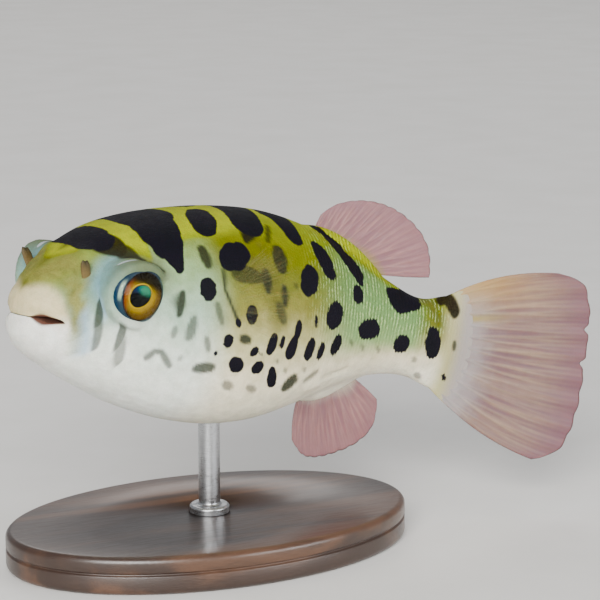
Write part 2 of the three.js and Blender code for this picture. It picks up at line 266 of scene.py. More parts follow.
BODY_LENGTH = 92.5
HOLD = 42.5  # distance along the spine of the point that stands over the rod
HOLD_HEIGHT = 44.5  # height of that point
EYE = {"along": 15.6, "out": 11.8, "up": 4.8, "down": 3, "dome": 6.2, "soft": 1.2, "reach": 12.5}
SPINE_STEP = 0.25


def through(pairs):
    """A smooth curve through (place, value) pairs: cubic pieces whose slope at each pair is the slope
    between its neighbours."""
    x, y = np.array(pairs, float).T
    last = len(x) - 1
    before = np.maximum(np.arange(last + 1) - 1, 0)
    after = np.minimum(np.arange(last + 1) + 1, last)
    slope = (y[after] - y[before]) / (x[after] - x[before])

    def curve(at):
        at = np.asarray(at, float)
        i = np.clip(np.searchsorted(x, at, side="right") - 1, 0, last - 1)
        h = x[i + 1] - x[i]
        t = np.clip((at - x[i]) / h, 0, 1)
        bend = h * t * (1 - t) * ((1 - t) * slope[i] - t * slope[i + 1])
        return y[i] + (y[i + 1] - y[i]) * t * t * (3 - 2 * t) + bend

    return curve


def smooth(value, low, high):
    """0 below low and 1 above high, with 3t² - 2t³ between them."""
    t = np.clip((value - low) / (high - low), 0, 1)
    return t * t * (3 - 2 * t)


heading = through([[0, 17], [20, 15], [42, 6], [67, -4], [92, -9], [122, -10]])
dipping = through([[0, 9.5], [22, 9.5], [47, 8], [67, 12], [82, 16], [93, 10], [122, 3]])


def axes(s):
    """Directions of the body at a distance s along its spine: towards the tail, out of the left side, and
    up, from how far the spine turns and dips there."""
    turn, dip = np.radians(heading(s)), np.radians(dipping(s))
    back = np.stack([np.cos(dip) * np.cos(turn), np.cos(dip) * np.sin(turn), -np.sin(dip)], -1)
    left = np.stack([np.sin(turn), -np.cos(turn), 0 * turn], -1)
    up = np.stack([np.sin(dip) * np.cos(turn), np.sin(dip) * np.sin(turn), np.cos(dip)], -1)
    return back, left, up


spine_at = np.arange(-8, 130, SPINE_STEP)
spine = np.cumsum(axes(spine_at + SPINE_STEP / 2)[0] * SPINE_STEP, axis=0)
spine = np.vstack([[0, 0, 0], spine[:-1]])


def spine_point(s):
    return np.stack([np.interp(s, spine_at, spine[:, k]) for k in range(3)], -1)


def place(s, left, up):
    """The point at a distance along the spine, out of the left side and up from the spine."""
    _, to_left, to_up = axes(s)
    from_hold = spine_point(s) - spine_point(HOLD) + [0, 0, HOLD_HEIGHT]
    return from_hold + to_left * np.asarray(left)[..., None] + to_up * np.asarray(up)[..., None]


# Distance along the spine, height of the top, depth of the bottom, half width, height of the widest line,
# and power of the rounded section.
SECTIONS = [
    [5.5, -1.0, 1.0, 0.0, -1.0, 2.0],  # end of the mouth
    [3.6, -0.4, 2.0, 5.0, -1.1, 2.0],
    [1.9, -0.6, 1.9, 6.6, -1.15, 2.0],  # slit between the lips
    [0.8, 0.3, 2.7, 6.7, -1.3, 2.0],
    [0.5, 2.2, 4.0, 6.7, -1.6, 2.0],  # crest of the lips
    [1.5, 4.4, 5.8, 7.0, -2.0, 2.1],
    [4.0, 7.2, 8.1, 8.6, -2.2, 2.15],  # muzzle
    [9.5, 11.2, 10.9, 11.5, -2.0, 2.2],  # nostrils
    [16.5, 15.0, 13.9, 14.3, -1.5, 2.3],  # eyes
    [24.5, 17.4, 17.0, 16.8, -1.8, 2.25],
    [33.5, 18.9, 19.2, 18.4, -2.5, 2.2],  # gills
    [42.5, 19.6, 19.9, 18.8, -3.0, 2.15],  # deepest part of the belly
    [51.5, 19.2, 18.8, 17.6, -3.0, 2.1],
    [60.5, 17.0, 15.8, 14.8, -2.5, 2.1],  # vent, and front of the back fin
    [68.5, 13.6, 12.2, 11.4, -2.0, 2.1],
    [76.5, 10.0, 8.9, 8.4, -1.0, 2.1],
    [84.5, 7.7, 7.4, 5.8, 0.0, 2.1],  # narrowest part of the tail
    [BODY_LENGTH, 9.0, 9.0, 2.2, 0.0, 2.0],  # root of the tail fin
]
ROWS_BETWEEN = [4, 5, 8, 9, 8, 10, 34, 66, 34, 18, 16, 15, 13, 13, 13, 13, 15]
AROUND = 304
LIP_CREST = 4
LAST = len(SECTIONS) - 1
SLIT = {"height": -1.05, "closed_to": 2.4, "open_from": 4.9}  # the lips meet in the middle
CORNER = {"back": 1.7, "out": 0.12, "band": 0.3}  # how the corners of the mouth are drawn back
MOUTH_SETBACK = 3.4
SETBACK_END = 9
TAIL_ROUND = 1.8
BACK_KEEL = {"start": 59.5, "end": 76, "height": 2.0, "half": 1.9}
BELLY_KEEL = {"start": 62.5, "end": 76.5, "height": 2.8, "half": 2.4}
LID = {"opening": 66.8, "wider": 9.2, "lower": 6, "upper": 3, "wall": 12, "rim": 0.16, "flat": 0.42}  # degrees, and mm

along, top, bottom, half, widest, power = (
    through([[i, row[column]] for i, row in enumerate(SECTIONS)]) for column in range(6)
)
outer = SECTIONS[LIP_CREST:]
top_at, bottom_at, half_at, widest_at, power_at = (
    through([[row[0], row[column]] for row in outer]) for column in range(1, 6)
)


def keel(size, s, y):
    """Height of a fleshy keel: a sine from its start to its end, falling off sideways as a bell curve."""
    t = np.clip((s - size["start"]) / (size["end"] - size["start"]), 0, 1)
    return size["height"] * np.sin(np.pi * t) ** 0.8 * np.exp(-((y / size["half"]) ** 2))


def eye_axes(side):
    """Middle of an eye, the way it looks, the way to the snout, and up, for side 1 (left) or -1 (right)."""
    back, left, up = axes(EYE["along"])
    down = np.radians(EYE["down"])
    look = side * left * np.cos(down) - up * np.sin(down)
    fore = -back
    return place(EYE["along"], side * EYE["out"], EYE["up"]), look, fore, np.cross(fore, look) * side


def lid_shape(degrees, fore_share, up_share):
    """Radius of the lids round an eye by the angle from the eye's axis, and how far a place lies inside the
    opening, 0 or 1 with a steep wall between. The opening is wider fore and aft, and low behind. The dome of
    the lids has a small raised rim, and is flatter in front and on top."""
    edge = LID["opening"] + LID["wider"] * (2 * fore_share**2 - 1)
    edge = edge + LID["lower"] * np.maximum(-0.6 * fore_share - 0.8 * up_share, 0) ** 2
    edge = edge + LID["upper"] * np.maximum(up_share, 0) ** 2
    flat = LID["flat"] * (np.maximum(fore_share, 0) ** 2 + np.maximum(up_share, 0) ** 2)
    dome = EYE["dome"] - flat * smooth(degrees, edge + 2, edge + 26)
    rim = LID["rim"] * np.exp(-(((degrees - edge - 3.5) / 3.5) ** 2)) * (1 - np.maximum(fore_share, 0))
    return dome + rim, 1 - smooth(degrees, edge - LID["wall"], edge)


def bulge(points, y, lids):
    """Pushes the head out round each eye to at least the lids' radius R, which fades with distance d: half of
    d + R + the root of (d - R)² + soft². Inside the opening the skin drops to a cup under the ball."""
    left_eye, right_eye = eye_axes(1), eye_axes(-1)
    is_left = (y > 0)[..., None]
    middle, look, fore, up = (np.where(is_left, a, b) for a, b in zip(left_eye, right_eye))
    away = points - middle
    distance = np.linalg.norm(away, axis=-1)
    direction = away / distance[..., None]
    across = np.einsum("...i,...i", direction, look)
    degrees = np.degrees(np.arccos(np.clip(across, -1, 1)))
    aside = np.maximum(np.sqrt(np.clip(1 - across**2, 0, 1)), 1e-6)
    fore_share, up_share = (np.einsum("...i,...i", direction, way) / aside for way in (fore, up))
    radius, inside = lid_shape(degrees, fore_share, up_share) if lids else (EYE["dome"], 0)
    pushed = 0.5 * (distance + radius + np.hypot(distance - radius, EYE["soft"]))
    fade = 1 - smooth(distance, EYE["dome"], EYE["reach"])
    reached = distance + (pushed - distance) * fade
    inside = inside * (1 - smooth(distance, 7.2, 8.4))
    reached = reached + (2.6 + 2.2 * smooth(degrees, 40, 62) - reached) * inside
    return middle + direction * reached[..., None], degrees, distance


def skin(row, angle, lids):
    """The body's surface at row (a number along SECTIONS) and angle (from the left side, over the back). A
    section is a rounded oval: y = half cos^n, z = widest line ± height sin^n, with n = 2 / power."""
    c, q = np.cos(angle), np.sin(angle)
    n = 2 / power(row)
    middle = widest(row)
    y = half(row) * np.sign(c) * np.abs(c) ** n
    z = middle + np.where(q >= 0, top(row) - middle, -bottom(row) - middle) * np.abs(q) ** n
    meeting = 1 - smooth(np.abs(y), SLIT["closed_to"], SLIT["open_from"])
    meeting = 0.96 * meeting * (1 - smooth(row, 3.1, 4.0)) * lids
    z = z + (SLIT["height"] - z) * meeting
    s = along(row) + 0 * angle
    z = z + np.where(q >= 0, keel(BACK_KEEL, s, y), -keel(BELLY_KEEL, s, y))
    fade = np.clip(1 - (row - LIP_CREST) / (SETBACK_END - LIP_CREST), 0, 1)
    s = s + MOUTH_SETBACK * fade * c * c * np.minimum(half(row) / 7.2, 1)
    s = s - smooth(row, LAST - 1, LAST) * TAIL_ROUND * (z / 9) ** 2
    corner = lids * np.exp(-((q / CORNER["band"]) ** 2)) * (1 - smooth(row, LIP_CREST + 0.2, LIP_CREST + 2.8))
    s = s + CORNER["back"] * corner
    y = y * (1 + CORNER["out"] * corner)
    points = place(s, y, z)
    bulged, degrees, distance = bulge(points, y, lids)
    near = (s > 0) & (s < EYE["along"] + EYE["reach"] + 3)
    return np.where(near[..., None], bulged, points), s, degrees, distance


def evenly(weight, count):
    """count turns from 0 to a full turn, closer together where weight(turn) is larger: equal steps of the
    running sum of weight."""
    fine = np.linspace(0, 2 * np.pi, 4001)
    middle = (fine[1:] + fine[:-1]) / 2
    total = np.concatenate([[0], np.cumsum(weight(middle))])
    return np.interp(np.arange(count) / count * total[-1], total, fine)


eye_turn = np.radians(71)  # from the top of the head down to the eye
turn = evenly(lambda a: 1 + 2.6 * (np.exp(8 * (np.cos(a - eye_turn) - 1)) + np.exp(8 * (np.cos(a + eye_turn) - 1))),
              AROUND)[None, :]
row = np.concatenate([[i + k / n for k in range(n)] for i, n in enumerate(ROWS_BETWEEN)] + [[LAST]])[:, None]
plain, s, _, _ = skin(row, np.pi / 2 - turn, False)
modelled, _, from_axis, from_eye = skin(row, np.pi / 2 - turn, True)

# Places on the skin: s along the spine, and g down from the middle of the back, positive on the left side.
steps = np.linalg.norm(np.roll(plain, -1, axis=1) - plain, axis=-1)
girth = steps.sum(axis=1, keepdims=True)
down = np.cumsum(steps, axis=1) - steps
g = np.where(turn <= np.pi, down, down - girth)
share = np.abs(g) / girth * 2  # 0 on the back, 1 under the belly


def stroke_distance(stroke, s, g):
    """How far (s, g) lies from a straight stroke, and the share of its length at the nearest point."""
    s0, g0, s1, g1 = stroke
    run = max((s1 - s0) ** 2 + (g1 - g0) ** 2, 1e-9)
    t = np.clip(((s - s0) * (s1 - s0) + (g - g0) * (g1 - g0)) / run, 0, 1)
    return np.hypot(s - s0 - t * (s1 - s0), g - g0 - t * (g1 - g0)), t


def marks(table, s, g, swell=0.0):
    """How far (s, g) lies inside the nearest of some tapered, round-ended strokes, in millimetres: the half
    width at the nearest point of a stroke less the distance to it, the largest over the strokes. The half
    width is multiplied by 1 + swell (4t(1 - t) - 0.7), which makes a stroke more of an oval."""
    inside = np.full(s.shape, -9.0)
    for s0, g0, w0, s1, g1, w1 in table:
        distance, t = stroke_distance((s0, g0, s1, g1), s, g)
        inside = np.maximum(inside, (w0 + (w1 - w0) * t) * (1 + swell * (4 * t * (1 - t) - 0.7)) - distance)
    return inside


def folds(table, s, g):
    """Height of folds and grooves: a bell curve of the distance to each stroke, times its height."""
    lift = np.zeros(s.shape)
    for s0, g0, s1, g1, width, height in table:
        distance, _ = stroke_distance((s0, g0, s1, g1), s, g)
        lift += height * np.exp(-((distance / width) ** 2))
    return lift


# Folds as strokes: two places (s, g), width and height.
FOLDS = [
    (33.8, 18.8, 33.6, 22.4, 0.4, -0.55),  # gill slit
    (33.6, 22.4, 34.9, 25.2, 0.4, -0.6),
    (34.9, 25.2, 36.6, 28.3, 0.42, -0.6),
    (35.9, 22.0, 36.9, 26.4, 1.7, 0.75),  # lobe behind it that carries the side fin
    (32.3, 20.0, 32.6, 25.0, 0.8, 0.18),
    (32.6, 25.0, 35.6, 29.6, 0.8, 0.18),
    (14.6, 12.6, 18.2, 13.4, 0.5, -0.3),  # crease over the eye
    (18.2, 13.4, 20.6, 16.0, 0.45, -0.35),
    (20.6, 16.0, 21.4, 19.6, 0.5, -0.2),
    (9.9, 14.0, 11.4, 21.0, 0.9, -0.22),  # crease in front of the eye
    (11.4, 21.0, 14.5, 26.6, 1.0, -0.2),
    (1.6, 1.6, 3.3, 5.2, 0.5, -0.16),  # edge of the upper lip
    (3.3, 5.2, 4.7, 9.4, 0.5, -0.26),
    (4.7, 9.4, 5.1, 13.4, 0.6, -0.24),
    (5.1, 13.4, 6.0, 19.0, 0.9, -0.15),
    (4.6, 3.9, 5.3, 6.2, 0.35, -0.2),  # folds of the muzzle
    (5.6, 6.6, 6.2, 9.4, 0.4, -0.18),
    (6.6, 3.6, 7.0, 6.6, 0.5, 0.16),
    (7.7, 10.6, 8.2, 14.0, 0.7, 0.16),
    (6.7, 9.3, 7.0, 9.7, 0.8, 0.42),  # bump on the muzzle
    (8.3, 8.6, 8.6, 9.4, 1.0, 0.45),  # foot of the nostril
    (6.6, 1.6, 9.6, 5.0, 1.5, 0.3),  # brow
    (9.6, 5.0, 12.6, 10.2, 1.6, 0.35),
    (62.7, 32.7, 65.5, 30.5, 0.5, -0.3),  # folds round the vent
    (65.5, 30.5, 68.6, 27.4, 0.5, -0.3),
    (57.0, 36.4, 60.4, 32.4, 0.7, -0.3),
    (59.0, 37.4, 61.8, 34.6, 0.9, 0.3),
]
grown = np.gradient(modelled, axis=0)
around = (np.roll(modelled, -1, axis=1) - np.roll(modelled, 1, axis=1)) / 2
normal = np.cross(around, grown)
normal /= np.maximum(np.linalg.norm(normal, axis=-1, keepdims=True), 1e-9)
outside = smooth(row, LIP_CREST + 0.2, LIP_CREST + 1)
lift = folds(FOLDS, s, np.abs(g)) * outside
inside_lids = smooth(from_axis, 70, 84)
modelled = modelled + normal * (lift * inside_lids)[..., None]

# Rays of the tail fin, from its top edge to its bottom edge: starting angle, turn and length.
TAIL_RAYS = (
    through([[0, 33], [0.25, 12], [0.5, -5], [0.75, -22], [1, -39]]),
    through([[0, -30], [0.12, -16], [0.5, 7], [1, 26]]),
    through([[0, 22.5], [0.06, 26], [0.12, 28.4], [0.25, 30], [0.5, 31], [0.75, 31.8], [0.9, 30.6], [1, 26]]),
)
TAIL_ROOT = 9.4  # half height of the fin's root
WRIST = 6.0  # how far the skin runs out over the fin's rays


def bent_ray(start, turn, length, r):
    """How far back and up a ray has gone at the share r of its length: an arc that starts at an angle and
    turns as it goes, back = L (sin(a + kr) - sin a) / k and up = L (cos a - cos(a + kr)) / k."""
    a = np.radians(start)
    k = np.radians(np.where(np.abs(turn) < 0.1, 0.1, turn))
    return length * (np.sin(a + k * r) - np.sin(a)) / k, length * (np.cos(a) - np.cos(a + k * r)) / k


# The skin thins out over the rays: each of the last rings goes on along the rays, and its half width falls
# with the square of what is left, to nothing at the end.
out_share = np.linspace(0, 1, 21)[1:, None]
end_back, end_left, end_up = axes(s[-1])
from_spine = modelled[-1] - place(s[-1], 0 * s[-1], 0 * s[-1])
end_width = np.einsum("ij,ij->i", from_spine, end_left)
end_height = np.einsum("ij,ij->i", from_spine, end_up)
end_ray = np.clip(0.5 - end_height / TAIL_ROOT / 2, 0, 1)
gone_back, gone_up = bent_ray(TAIL_RAYS[0](end_ray), TAIL_RAYS[1](end_ray), TAIL_RAYS[2](end_ray),
                              out_share * WRIST / TAIL_RAYS[2](end_ray))
narrowed = end_width * ((1 - out_share) ** 2 * 0.88 + 0.12 * np.sqrt(1 - out_share))
rim = place(s[-1], 0 * s[-1], end_height)
tail_end = (rim + end_back * gone_back[..., None] + end_up * gone_up[..., None]
            + end_left * narrowed[..., None])
body_rings = np.concatenate([modelled, tail_end])


def with_end(values):
    """Repeats the last ring's values on the rings that thin out over the fin."""
    return np.concatenate([values, np.repeat(values[-1:], len(out_share), axis=0)])


row, s, g, share, from_eye = (with_end(value + 0 * s) for value in (row, s, g, share, from_eye))
s[-len(out_share):] += out_share * WRIST

# Markings of the left side as tapered strokes: s, g and half width at each end.
SADDLES = [
    (12.6, -3.0, 2.8, 12.8, 2.6, 2.6),  # cap of the head
    (12.8, 2.6, 2.6, 13.5, 5.4, 2.0),
    (24.2, -2.0, 5.2, 24.0, 4.0, 4.7),
    (24.0, 4.0, 4.7, 23.5, 8.5, 4.2),
    (23.5, 8.5, 4.2, 23.5, 11.5, 3.4),
    (23.5, 11.5, 3.4, 24.2, 16.8, 1.0),
    (44.2, -3.0, 3.7, 44.1, 4.0, 3.5),
    (44.1, 4.0, 3.5, 43.4, 8.6, 3.4),
    (52.2, -2.0, 3.2, 52.6, 4.0, 2.6),
    (52.6, 4.0, 2.6, 53.3, 9.6, 1.9),
    (77.7, 6.2, 2.4, 81.8, 3.0, 2.3),
    (81.8, 3.0, 2.3, 81.8, -1.0, 2.2),
    (61.0, 1.0, 0.9, 62.8, 2.8, 1.0),  # foot of the back fin
    (62.8, 2.6, 0.7, 65.6, 3.9, 0.9),
]
SPOTS = [
    (35.2, 4.0, 2.7, 33.2, 9.4, 2.9),
    (35.6, 16.9, 2.7, 38.6, 15.8, 2.8),
    (58.9, 9.6, 2.0, 60.4, 13.4, 2.0),
    (63.2, 4.2, 1.3, 65.6, 6.4, 2.2),
    (65.6, 6.4, 2.2, 67.4, 7.8, 2.4),
    (67.4, 7.8, 2.4, 68.4, 10.0, 1.4),
    (68.3, 12.5, 1.35, 67.5, 14.3, 1.2),
    (55.8, 16.3, 2.0, 54.0, 19.8, 1.8),
    (62.7, 19.6, 1.75, 61.0, 22.4, 1.8),
    (73.2, 15.1, 1.4, 69.8, 18.9, 1.25),
    (81.0, 12.3, 1.45, 79.5, 14.2, 1.35),
    (87.5, 8.2, 1.9, 88.3, 11.0, 2.0),
    (92.9, 15.8, 0.7, 93.0, 15.9, 0.65),
    (64.0, 24.3, 1.05, 62.6, 27.2, 1.0),
    (59.6, 27.6, 0.75, 58.8, 30.2, 0.65),
    (56.5, 28.4, 1.0, 55.3, 31.6, 1.1),
    (56.8, 23.8, 0.55, 56.8, 25.3, 0.55),
    (52.2, 26.8, 0.85, 51.6, 29.6, 0.75),
    (51.6, 29.6, 0.85, 50.2, 32.8, 1.35),
    (45.8, 30.8, 1.05, 44.8, 33.2, 1.05),
    (48.2, 30.4, 0.55, 47.8, 31.9, 0.55),
    (34.5, 31.2, 1.25, 34.7, 31.7, 1.2),
    (41.4, 33.2, 0.8, 40.6, 33.9, 0.8),
    (42.8, 34.0, 0.4, 42.9, 34.1, 0.35),
    (32.0, 33.3, 0.55, 32.1, 33.4, 0.55),
    (36.6, 35.5, 1.4, 38.0, 36.3, 1.35),
    (42.0, 36.7, 1.2, 43.0, 36.2, 1.2),
    (46.4, 36.8, 1.1, 47.2, 39.0, 1.35),
    (29.6, 21.3, 2.0, 29.9, 22.2, 1.95),
    (39.8, 26.6, 1.5, 39.8, 27.6, 1.4),
    (36.5, 28.2, 0.75, 36.8, 28.6, 0.75),
]
# Softer grey, brown and olive marks, and painted shade in the gill slit, in the crease over the eye and under the side
# fin: the same six numbers, then their strength.
SOFT_MARKS_AND_SHADE = [
    (13.0, 4.6, 2.4, 15.0, 9.0, 1.5, 0.98),  # cap, running out along the yellow band
    (15.0, 9.0, 1.5, 16.9, 12.4, 0.6, 0.91),
    # along the crease over the eye: painted shade in the fold
    (16.9, 12.4, 0.5, 20.6, 16.2, 0.45, 0.82),
    (43.0, 10.2, 2.0, 41.2, 13.0, 0.9, 1.0),
    (48.0, 8.6, 0.6, 46.4, 12.6, 0.6, 0.82),
    (48.2, 14.6, 1.7, 48.0, 17.6, 1.6, 1.0),
    (89.6, -0.6, 1.2, 92.8, 3.8, 1.25, 1.0),  # root of the tail fin
    (93.5, 9.3, 0.55, 93.7, 10.3, 0.55, 0.88),
    (87.0, 17.0, 0.9, 87.4, 17.3, 0.8, 0.6),
    (37.8, 31.2, 0.9, 39.4, 31.6, 0.8, 0.97),
    (51.5, 39.2, 1.3, 53.4, 36.8, 1.3, 0.97),
    (36.0, 39.6, 0.9, 37.3, 40.4, 0.9, 0.68),
    (41.6, 40.4, 0.7, 43.2, 41.0, 0.8, 0.68),
    (57.0, 36.0, 0.6, 60.0, 32.5, 0.5, 0.6),
    (47.2, 34.7, 0.5, 47.3, 34.8, 0.5, 0.68),
    (50.0, 36.0, 0.6, 50.1, 36.1, 0.5, 0.6),
    (84.5, 14.0, 0.7, 84.6, 14.1, 0.7, 0.6),
    (75.0, 17.8, 0.6, 75.1, 17.9, 0.6, 0.6),
    (70.8, 21.0, 0.6, 70.9, 21.1, 0.6, 0.6),
    (67.5, 22.5, 0.6, 67.6, 22.6, 0.6, 0.6),
    (55.5, 34.0, 0.6, 55.6, 34.1, 0.6, 0.6),
    (24.0, 21.4, 0.85, 23.5, 24.6, 0.8, 0.96),
    (30.1, 14.4, 1.2, 30.6, 17.3, 1.1, 0.94),
    (26.5, 26.6, 1.0, 26.0, 29.0, 1.2, 0.72),
    (22.8, 27.0, 0.6, 22.8, 28.2, 0.6, 0.6),
    (29.6, 30.4, 0.6, 30.4, 32.4, 0.6, 0.68),
    (31.6, 24.8, 0.7, 32.8, 28.0, 0.6, 0.68),
    (18.5, 32.5, 0.5, 19.8, 30.5, 0.5, 0.76),
    (19.8, 30.5, 0.5, 21.0, 30.6, 0.5, 0.76),
    (21.0, 30.6, 0.5, 23.3, 34.0, 0.5, 0.76),
    (28.6, 35.5, 1.0, 31.8, 36.0, 1.0, 0.91),
    (24.8, 32.8, 0.6, 24.9, 32.9, 0.6, 0.52),
    # gill slit: painted shade inside the slit
    (33.8, 18.6, 0.35, 33.6, 22.4, 0.4, 1.0),
    (33.6, 22.4, 0.35, 34.9, 25.2, 0.3, 1.0),
    (34.9, 25.2, 0.3, 36.4, 28.0, 0.4, 1.0),
    # painted shade under the side fin, on the flank behind the gill
    (37.2, 19.6, 1.9, 42.5, 20.4, 1.2, 0.8),
    (43.9, 19.4, 1.1, 44.0, 22.4, 1.0, 1.0),
    (48.2, 21.6, 0.9, 48.2, 24.2, 0.9, 1.0),
    (46.8, 25.2, 1.2, 47.8, 27.2, 1.1, 0.76),
    (47.1, 11.5, 0.5, 47.2, 11.6, 0.5, 0.76),
    (51.3, 20.3, 0.7, 51.4, 20.4, 0.6, 0.6),
    (10.3, 14.7, 0.8, 9.9, 17.4, 0.95, 0.88),  # bars of the cheek
    (9.9, 17.4, 0.8, 9.9, 22.2, 0.55, 0.72),
    (13.5, 24.4, 0.75, 13.6, 27.4, 0.85, 0.82),
    (13.6, 27.4, 0.7, 14.6, 35.0, 0.45, 0.64),
]
# Colour zones: the same six numbers, then how far the edge fades.
YELLOWS = [
    (14.8, -6.0, 1.5, 16.6, -0.5, 1.7, 0.4),
    (16.6, -0.5, 1.7, 17.4, 3.4, 2.1, 0.4),
    (17.4, 3.4, 2.1, 17.7, 9.0, 1.8, 0.4),
    (17.7, 9.0, 1.8, 18.6, 13.0, 0.8, 0.5),
    (26.5, 0.0, 11.0, 36.0, 0.0, 11.0, 1.6),
    (36.0, 0.0, 10.0, 42.0, 0.0, 5.5, 2.0),
    (42.0, 0.0, 5.5, 58.0, 0.0, 3.5, 2.4),
    (64.5, 0.0, 2.6, 72.5, 0.0, 3.6, 1.0),
    (7.4, 0.4, 0.9, 9.6, 2.4, 1.1, 0.9),
]
OLIVES = [
    (2.8, 1.0, 1.2, 6.4, 4.6, 2.4, 1.3),
    (6.4, 4.6, 2.4, 7.4, 8.6, 2.2, 1.2),
    (5.9, 8.4, 1.0, 6.5, 12.4, 1.3, 0.8),
    (8.2, 6.4, 1.1, 8.3, 9.8, 1.1, 0.8),
    (84.4, 0.6, 2.0, 88.4, 4.0, 2.0, 1.0),
    (6.6, 12.4, 1.6, 7.0, 16.4, 1.2, 1.0),
    (7.0, 16.4, 0.7, 7.4, 21.0, 0.4, 1.6),
    (36.0, 15.5, 3.0, 44.0, 19.0, 3.0, 3.5),
    (44.0, 14.0, 1.6, 45.5, 20.0, 2.4, 2.5),
    (45.5, 20.0, 2.4, 46.4, 27.0, 1.6, 2.5),
]
BLUES = [
    (10.6, 11.0, 0.6, 11.6, 17.5, 0.9, 1.2),
    (7.6, 14.0, 0.7, 8.6, 22.0, 0.9, 1.4),
]


def zone(table, s, g):
    """Strength from 0 to 1 of a soft zone: each stroke's depth inside, carried smoothly over its fade."""
    strength = np.zeros(s.shape)
    for *stroke, fade in table:
        strength = np.maximum(strength, smooth(marks([stroke], s, g), -fade, fade))
    return strength


OVAL = 0.2


def smudged(table, s, g):
    """The same with a fade of 0.3 mm and each stroke's own strength."""
    strength = np.zeros(s.shape)
    for *stroke, strongest in table:
        strength = np.maximum(strength, strongest * smooth(marks([stroke], s, g, OVAL), -0.3, 0.3))
    return strength


def right_side(table, chance, shift):
    """The marks of the other side: the same strokes, each moved and resized a little."""
    moved = []
    for stroke in table:
        ds, dg = chance.normal(0, shift, 2)
        size = 1 + chance.normal(0, 0.1)
        s0, g0, w0, s1, g1, w1, *rest = stroke
        moved.append((s0 + ds, g0 + dg, w0 * size, s1 + ds, g1 + dg, w1 * size, *rest))
    return moved


chance = np.random.default_rng(11)
black = np.maximum(marks(SADDLES, s, g), marks(SPOTS, s, g, OVAL))
black = np.maximum(black, marks(right_side(SADDLES, chance, 0.25), s, -g))
black = np.maximum(black, marks(right_side(SPOTS, chance, 1.0), s, -g, OVAL))
# Soft marks and painted shade, on both sides.
soft_marks_and_shade = np.maximum(smudged(SOFT_MARKS_AND_SHADE, s, g), smudged(right_side(SOFT_MARKS_AND_SHADE, chance, 0.7), s, -g))
yellow, olive, blue = (np.maximum(zone(table, s, g), zone(table, s, -g)) for table in (YELLOWS, OLIVES, BLUES))
orbit = 1 - smooth(from_eye, 5.8, 9.2)
mouth = 1 - smooth(row, 2.5, 3.2)
lip_edge = through([[0, 0.8], [2.6, 2.2], [5.2, 3.5], [7.3, 4.3], [9.1, 4.8], [12, 5.2], [16, 5.6], [30, 7], [50, 7]])
lips = 1 - smooth(s - lip_edge(np.abs(g)), -0.6, 0.7)
body_values = {
    "black": black,
    "soft_marks_and_shade": soft_marks_and_shade,
    "pigment": np.stack([yellow, olive, blue], -1),
    "head": np.stack([orbit, mouth, lips], -1),
    "body_place": np.stack([s, np.abs(g), share], -1),
}
skin_piece = closed_mesh("fish_skin", body_rings, body_values)

# Small pimples and mottling that every fleshy piece shares.
grain_group = bpy.data.node_groups.new("Skin grain", "ShaderNodeTree")
for name in ("Vector", "Size"):
    kind = "NodeSocketVector" if name == "Vector" else "NodeSocketFloat"
    grain_group.interface.new_socket(name, in_out="INPUT", socket_type=kind)
for name in ("Height", "Mottle"):
    grain_group.interface.new_socket(name, in_out="OUTPUT", socket_type="NodeSocketFloat")
given = grain_group.nodes.new("NodeGroupInput")
result = grain_group.nodes.new("NodeGroupOutput")
per_metre = maths(grain_group, "DIVIDE", 1000.0, given.outputs["Size"])
cells = node(grain_group, "TexVoronoi", {"Vector": given.outputs["Vector"], "Scale": per_metre}, feature="SMOOTH_F1")
pimple = spread(grain_group, cells.outputs["Distance"], 0.0, 0.55, 1.0, 0.0)
fine = noise(grain_group, given.outputs["Vector"], maths(grain_group, "MULTIPLY", per_metre, 1.7), 4.0)
coarse = noise(grain_group, given.outputs["Vector"], maths(grain_group, "MULTIPLY", per_metre, 0.22), 3.0)
height = maths(grain_group, "ADD", maths(grain_group, "MULTIPLY", pimple, 0.5), maths(grain_group, "MULTIPLY", fine, 0.7))
grain_group.links.new(height, result.inputs["Height"])
mottle = maths(grain_group, "ADD", maths(grain_group, "MULTIPLY", fine, 0.45), maths(grain_group, "MULTIPLY", coarse, 0.55))
grain_group.links.new(mottle, result.inputs["Mottle"])


def skin_grain(tree, where, size):
    """Height and mottle of the shared skin grain, with pimples size millimetres apart."""
    made = node(tree, "Group", node_tree=grain_group)
    tree.links.new(where, made.inputs["Vector"])
    made.inputs["Size"].default_value = size
    return made.outputs["Height"], made.outputs["Mottle"]


def attribute(tree, name, part=None):
    """A stored value, or one part (0, 1 or 2) of a stored vector."""
    stored = node(tree, "Attribute", attribute_name=name)
    if part is None:
        return stored.outputs["Fac"]
    return node(tree, "SeparateXYZ", {0: stored.outputs["Vector"]}).outputs[part]


painted, tree, shader = material(
    "painted_skin", Specular_IOR_Level=0.08, Subsurface_Weight=0.1, Subsurface_Scale=0.0012
)
where = node(tree, "TexCoord").outputs["Object"]
grain_height, grain_mottle = skin_grain(tree, where, 0.42)
patches = noise(tree, where, 260.0, 4.0)
specks = noise(tree, where, 2600.0, 2.0)
from_head = attribute(tree, "body_place", 0)
from_back = attribute(tree, "body_place", 2)
wandering = maths(tree, "ADD", from_back, maths(tree, "MULTIPLY", maths(tree, "SUBTRACT", patches, 0.5), 0.12))
flank = ramp(
    tree,
    wandering,
    (0.0, srgb(136, 144, 8)),
    (0.13, srgb(124, 132, 24)),
    (0.23, srgb(104, 108, 42)),
    (0.32, srgb(100, 104, 56)),
    (0.42, srgb(122, 120, 76)),
    (0.52, srgb(170, 166, 130)),
    (0.64, srgb(220, 212, 190)),
    (0.85, srgb(242, 238, 222)),
)
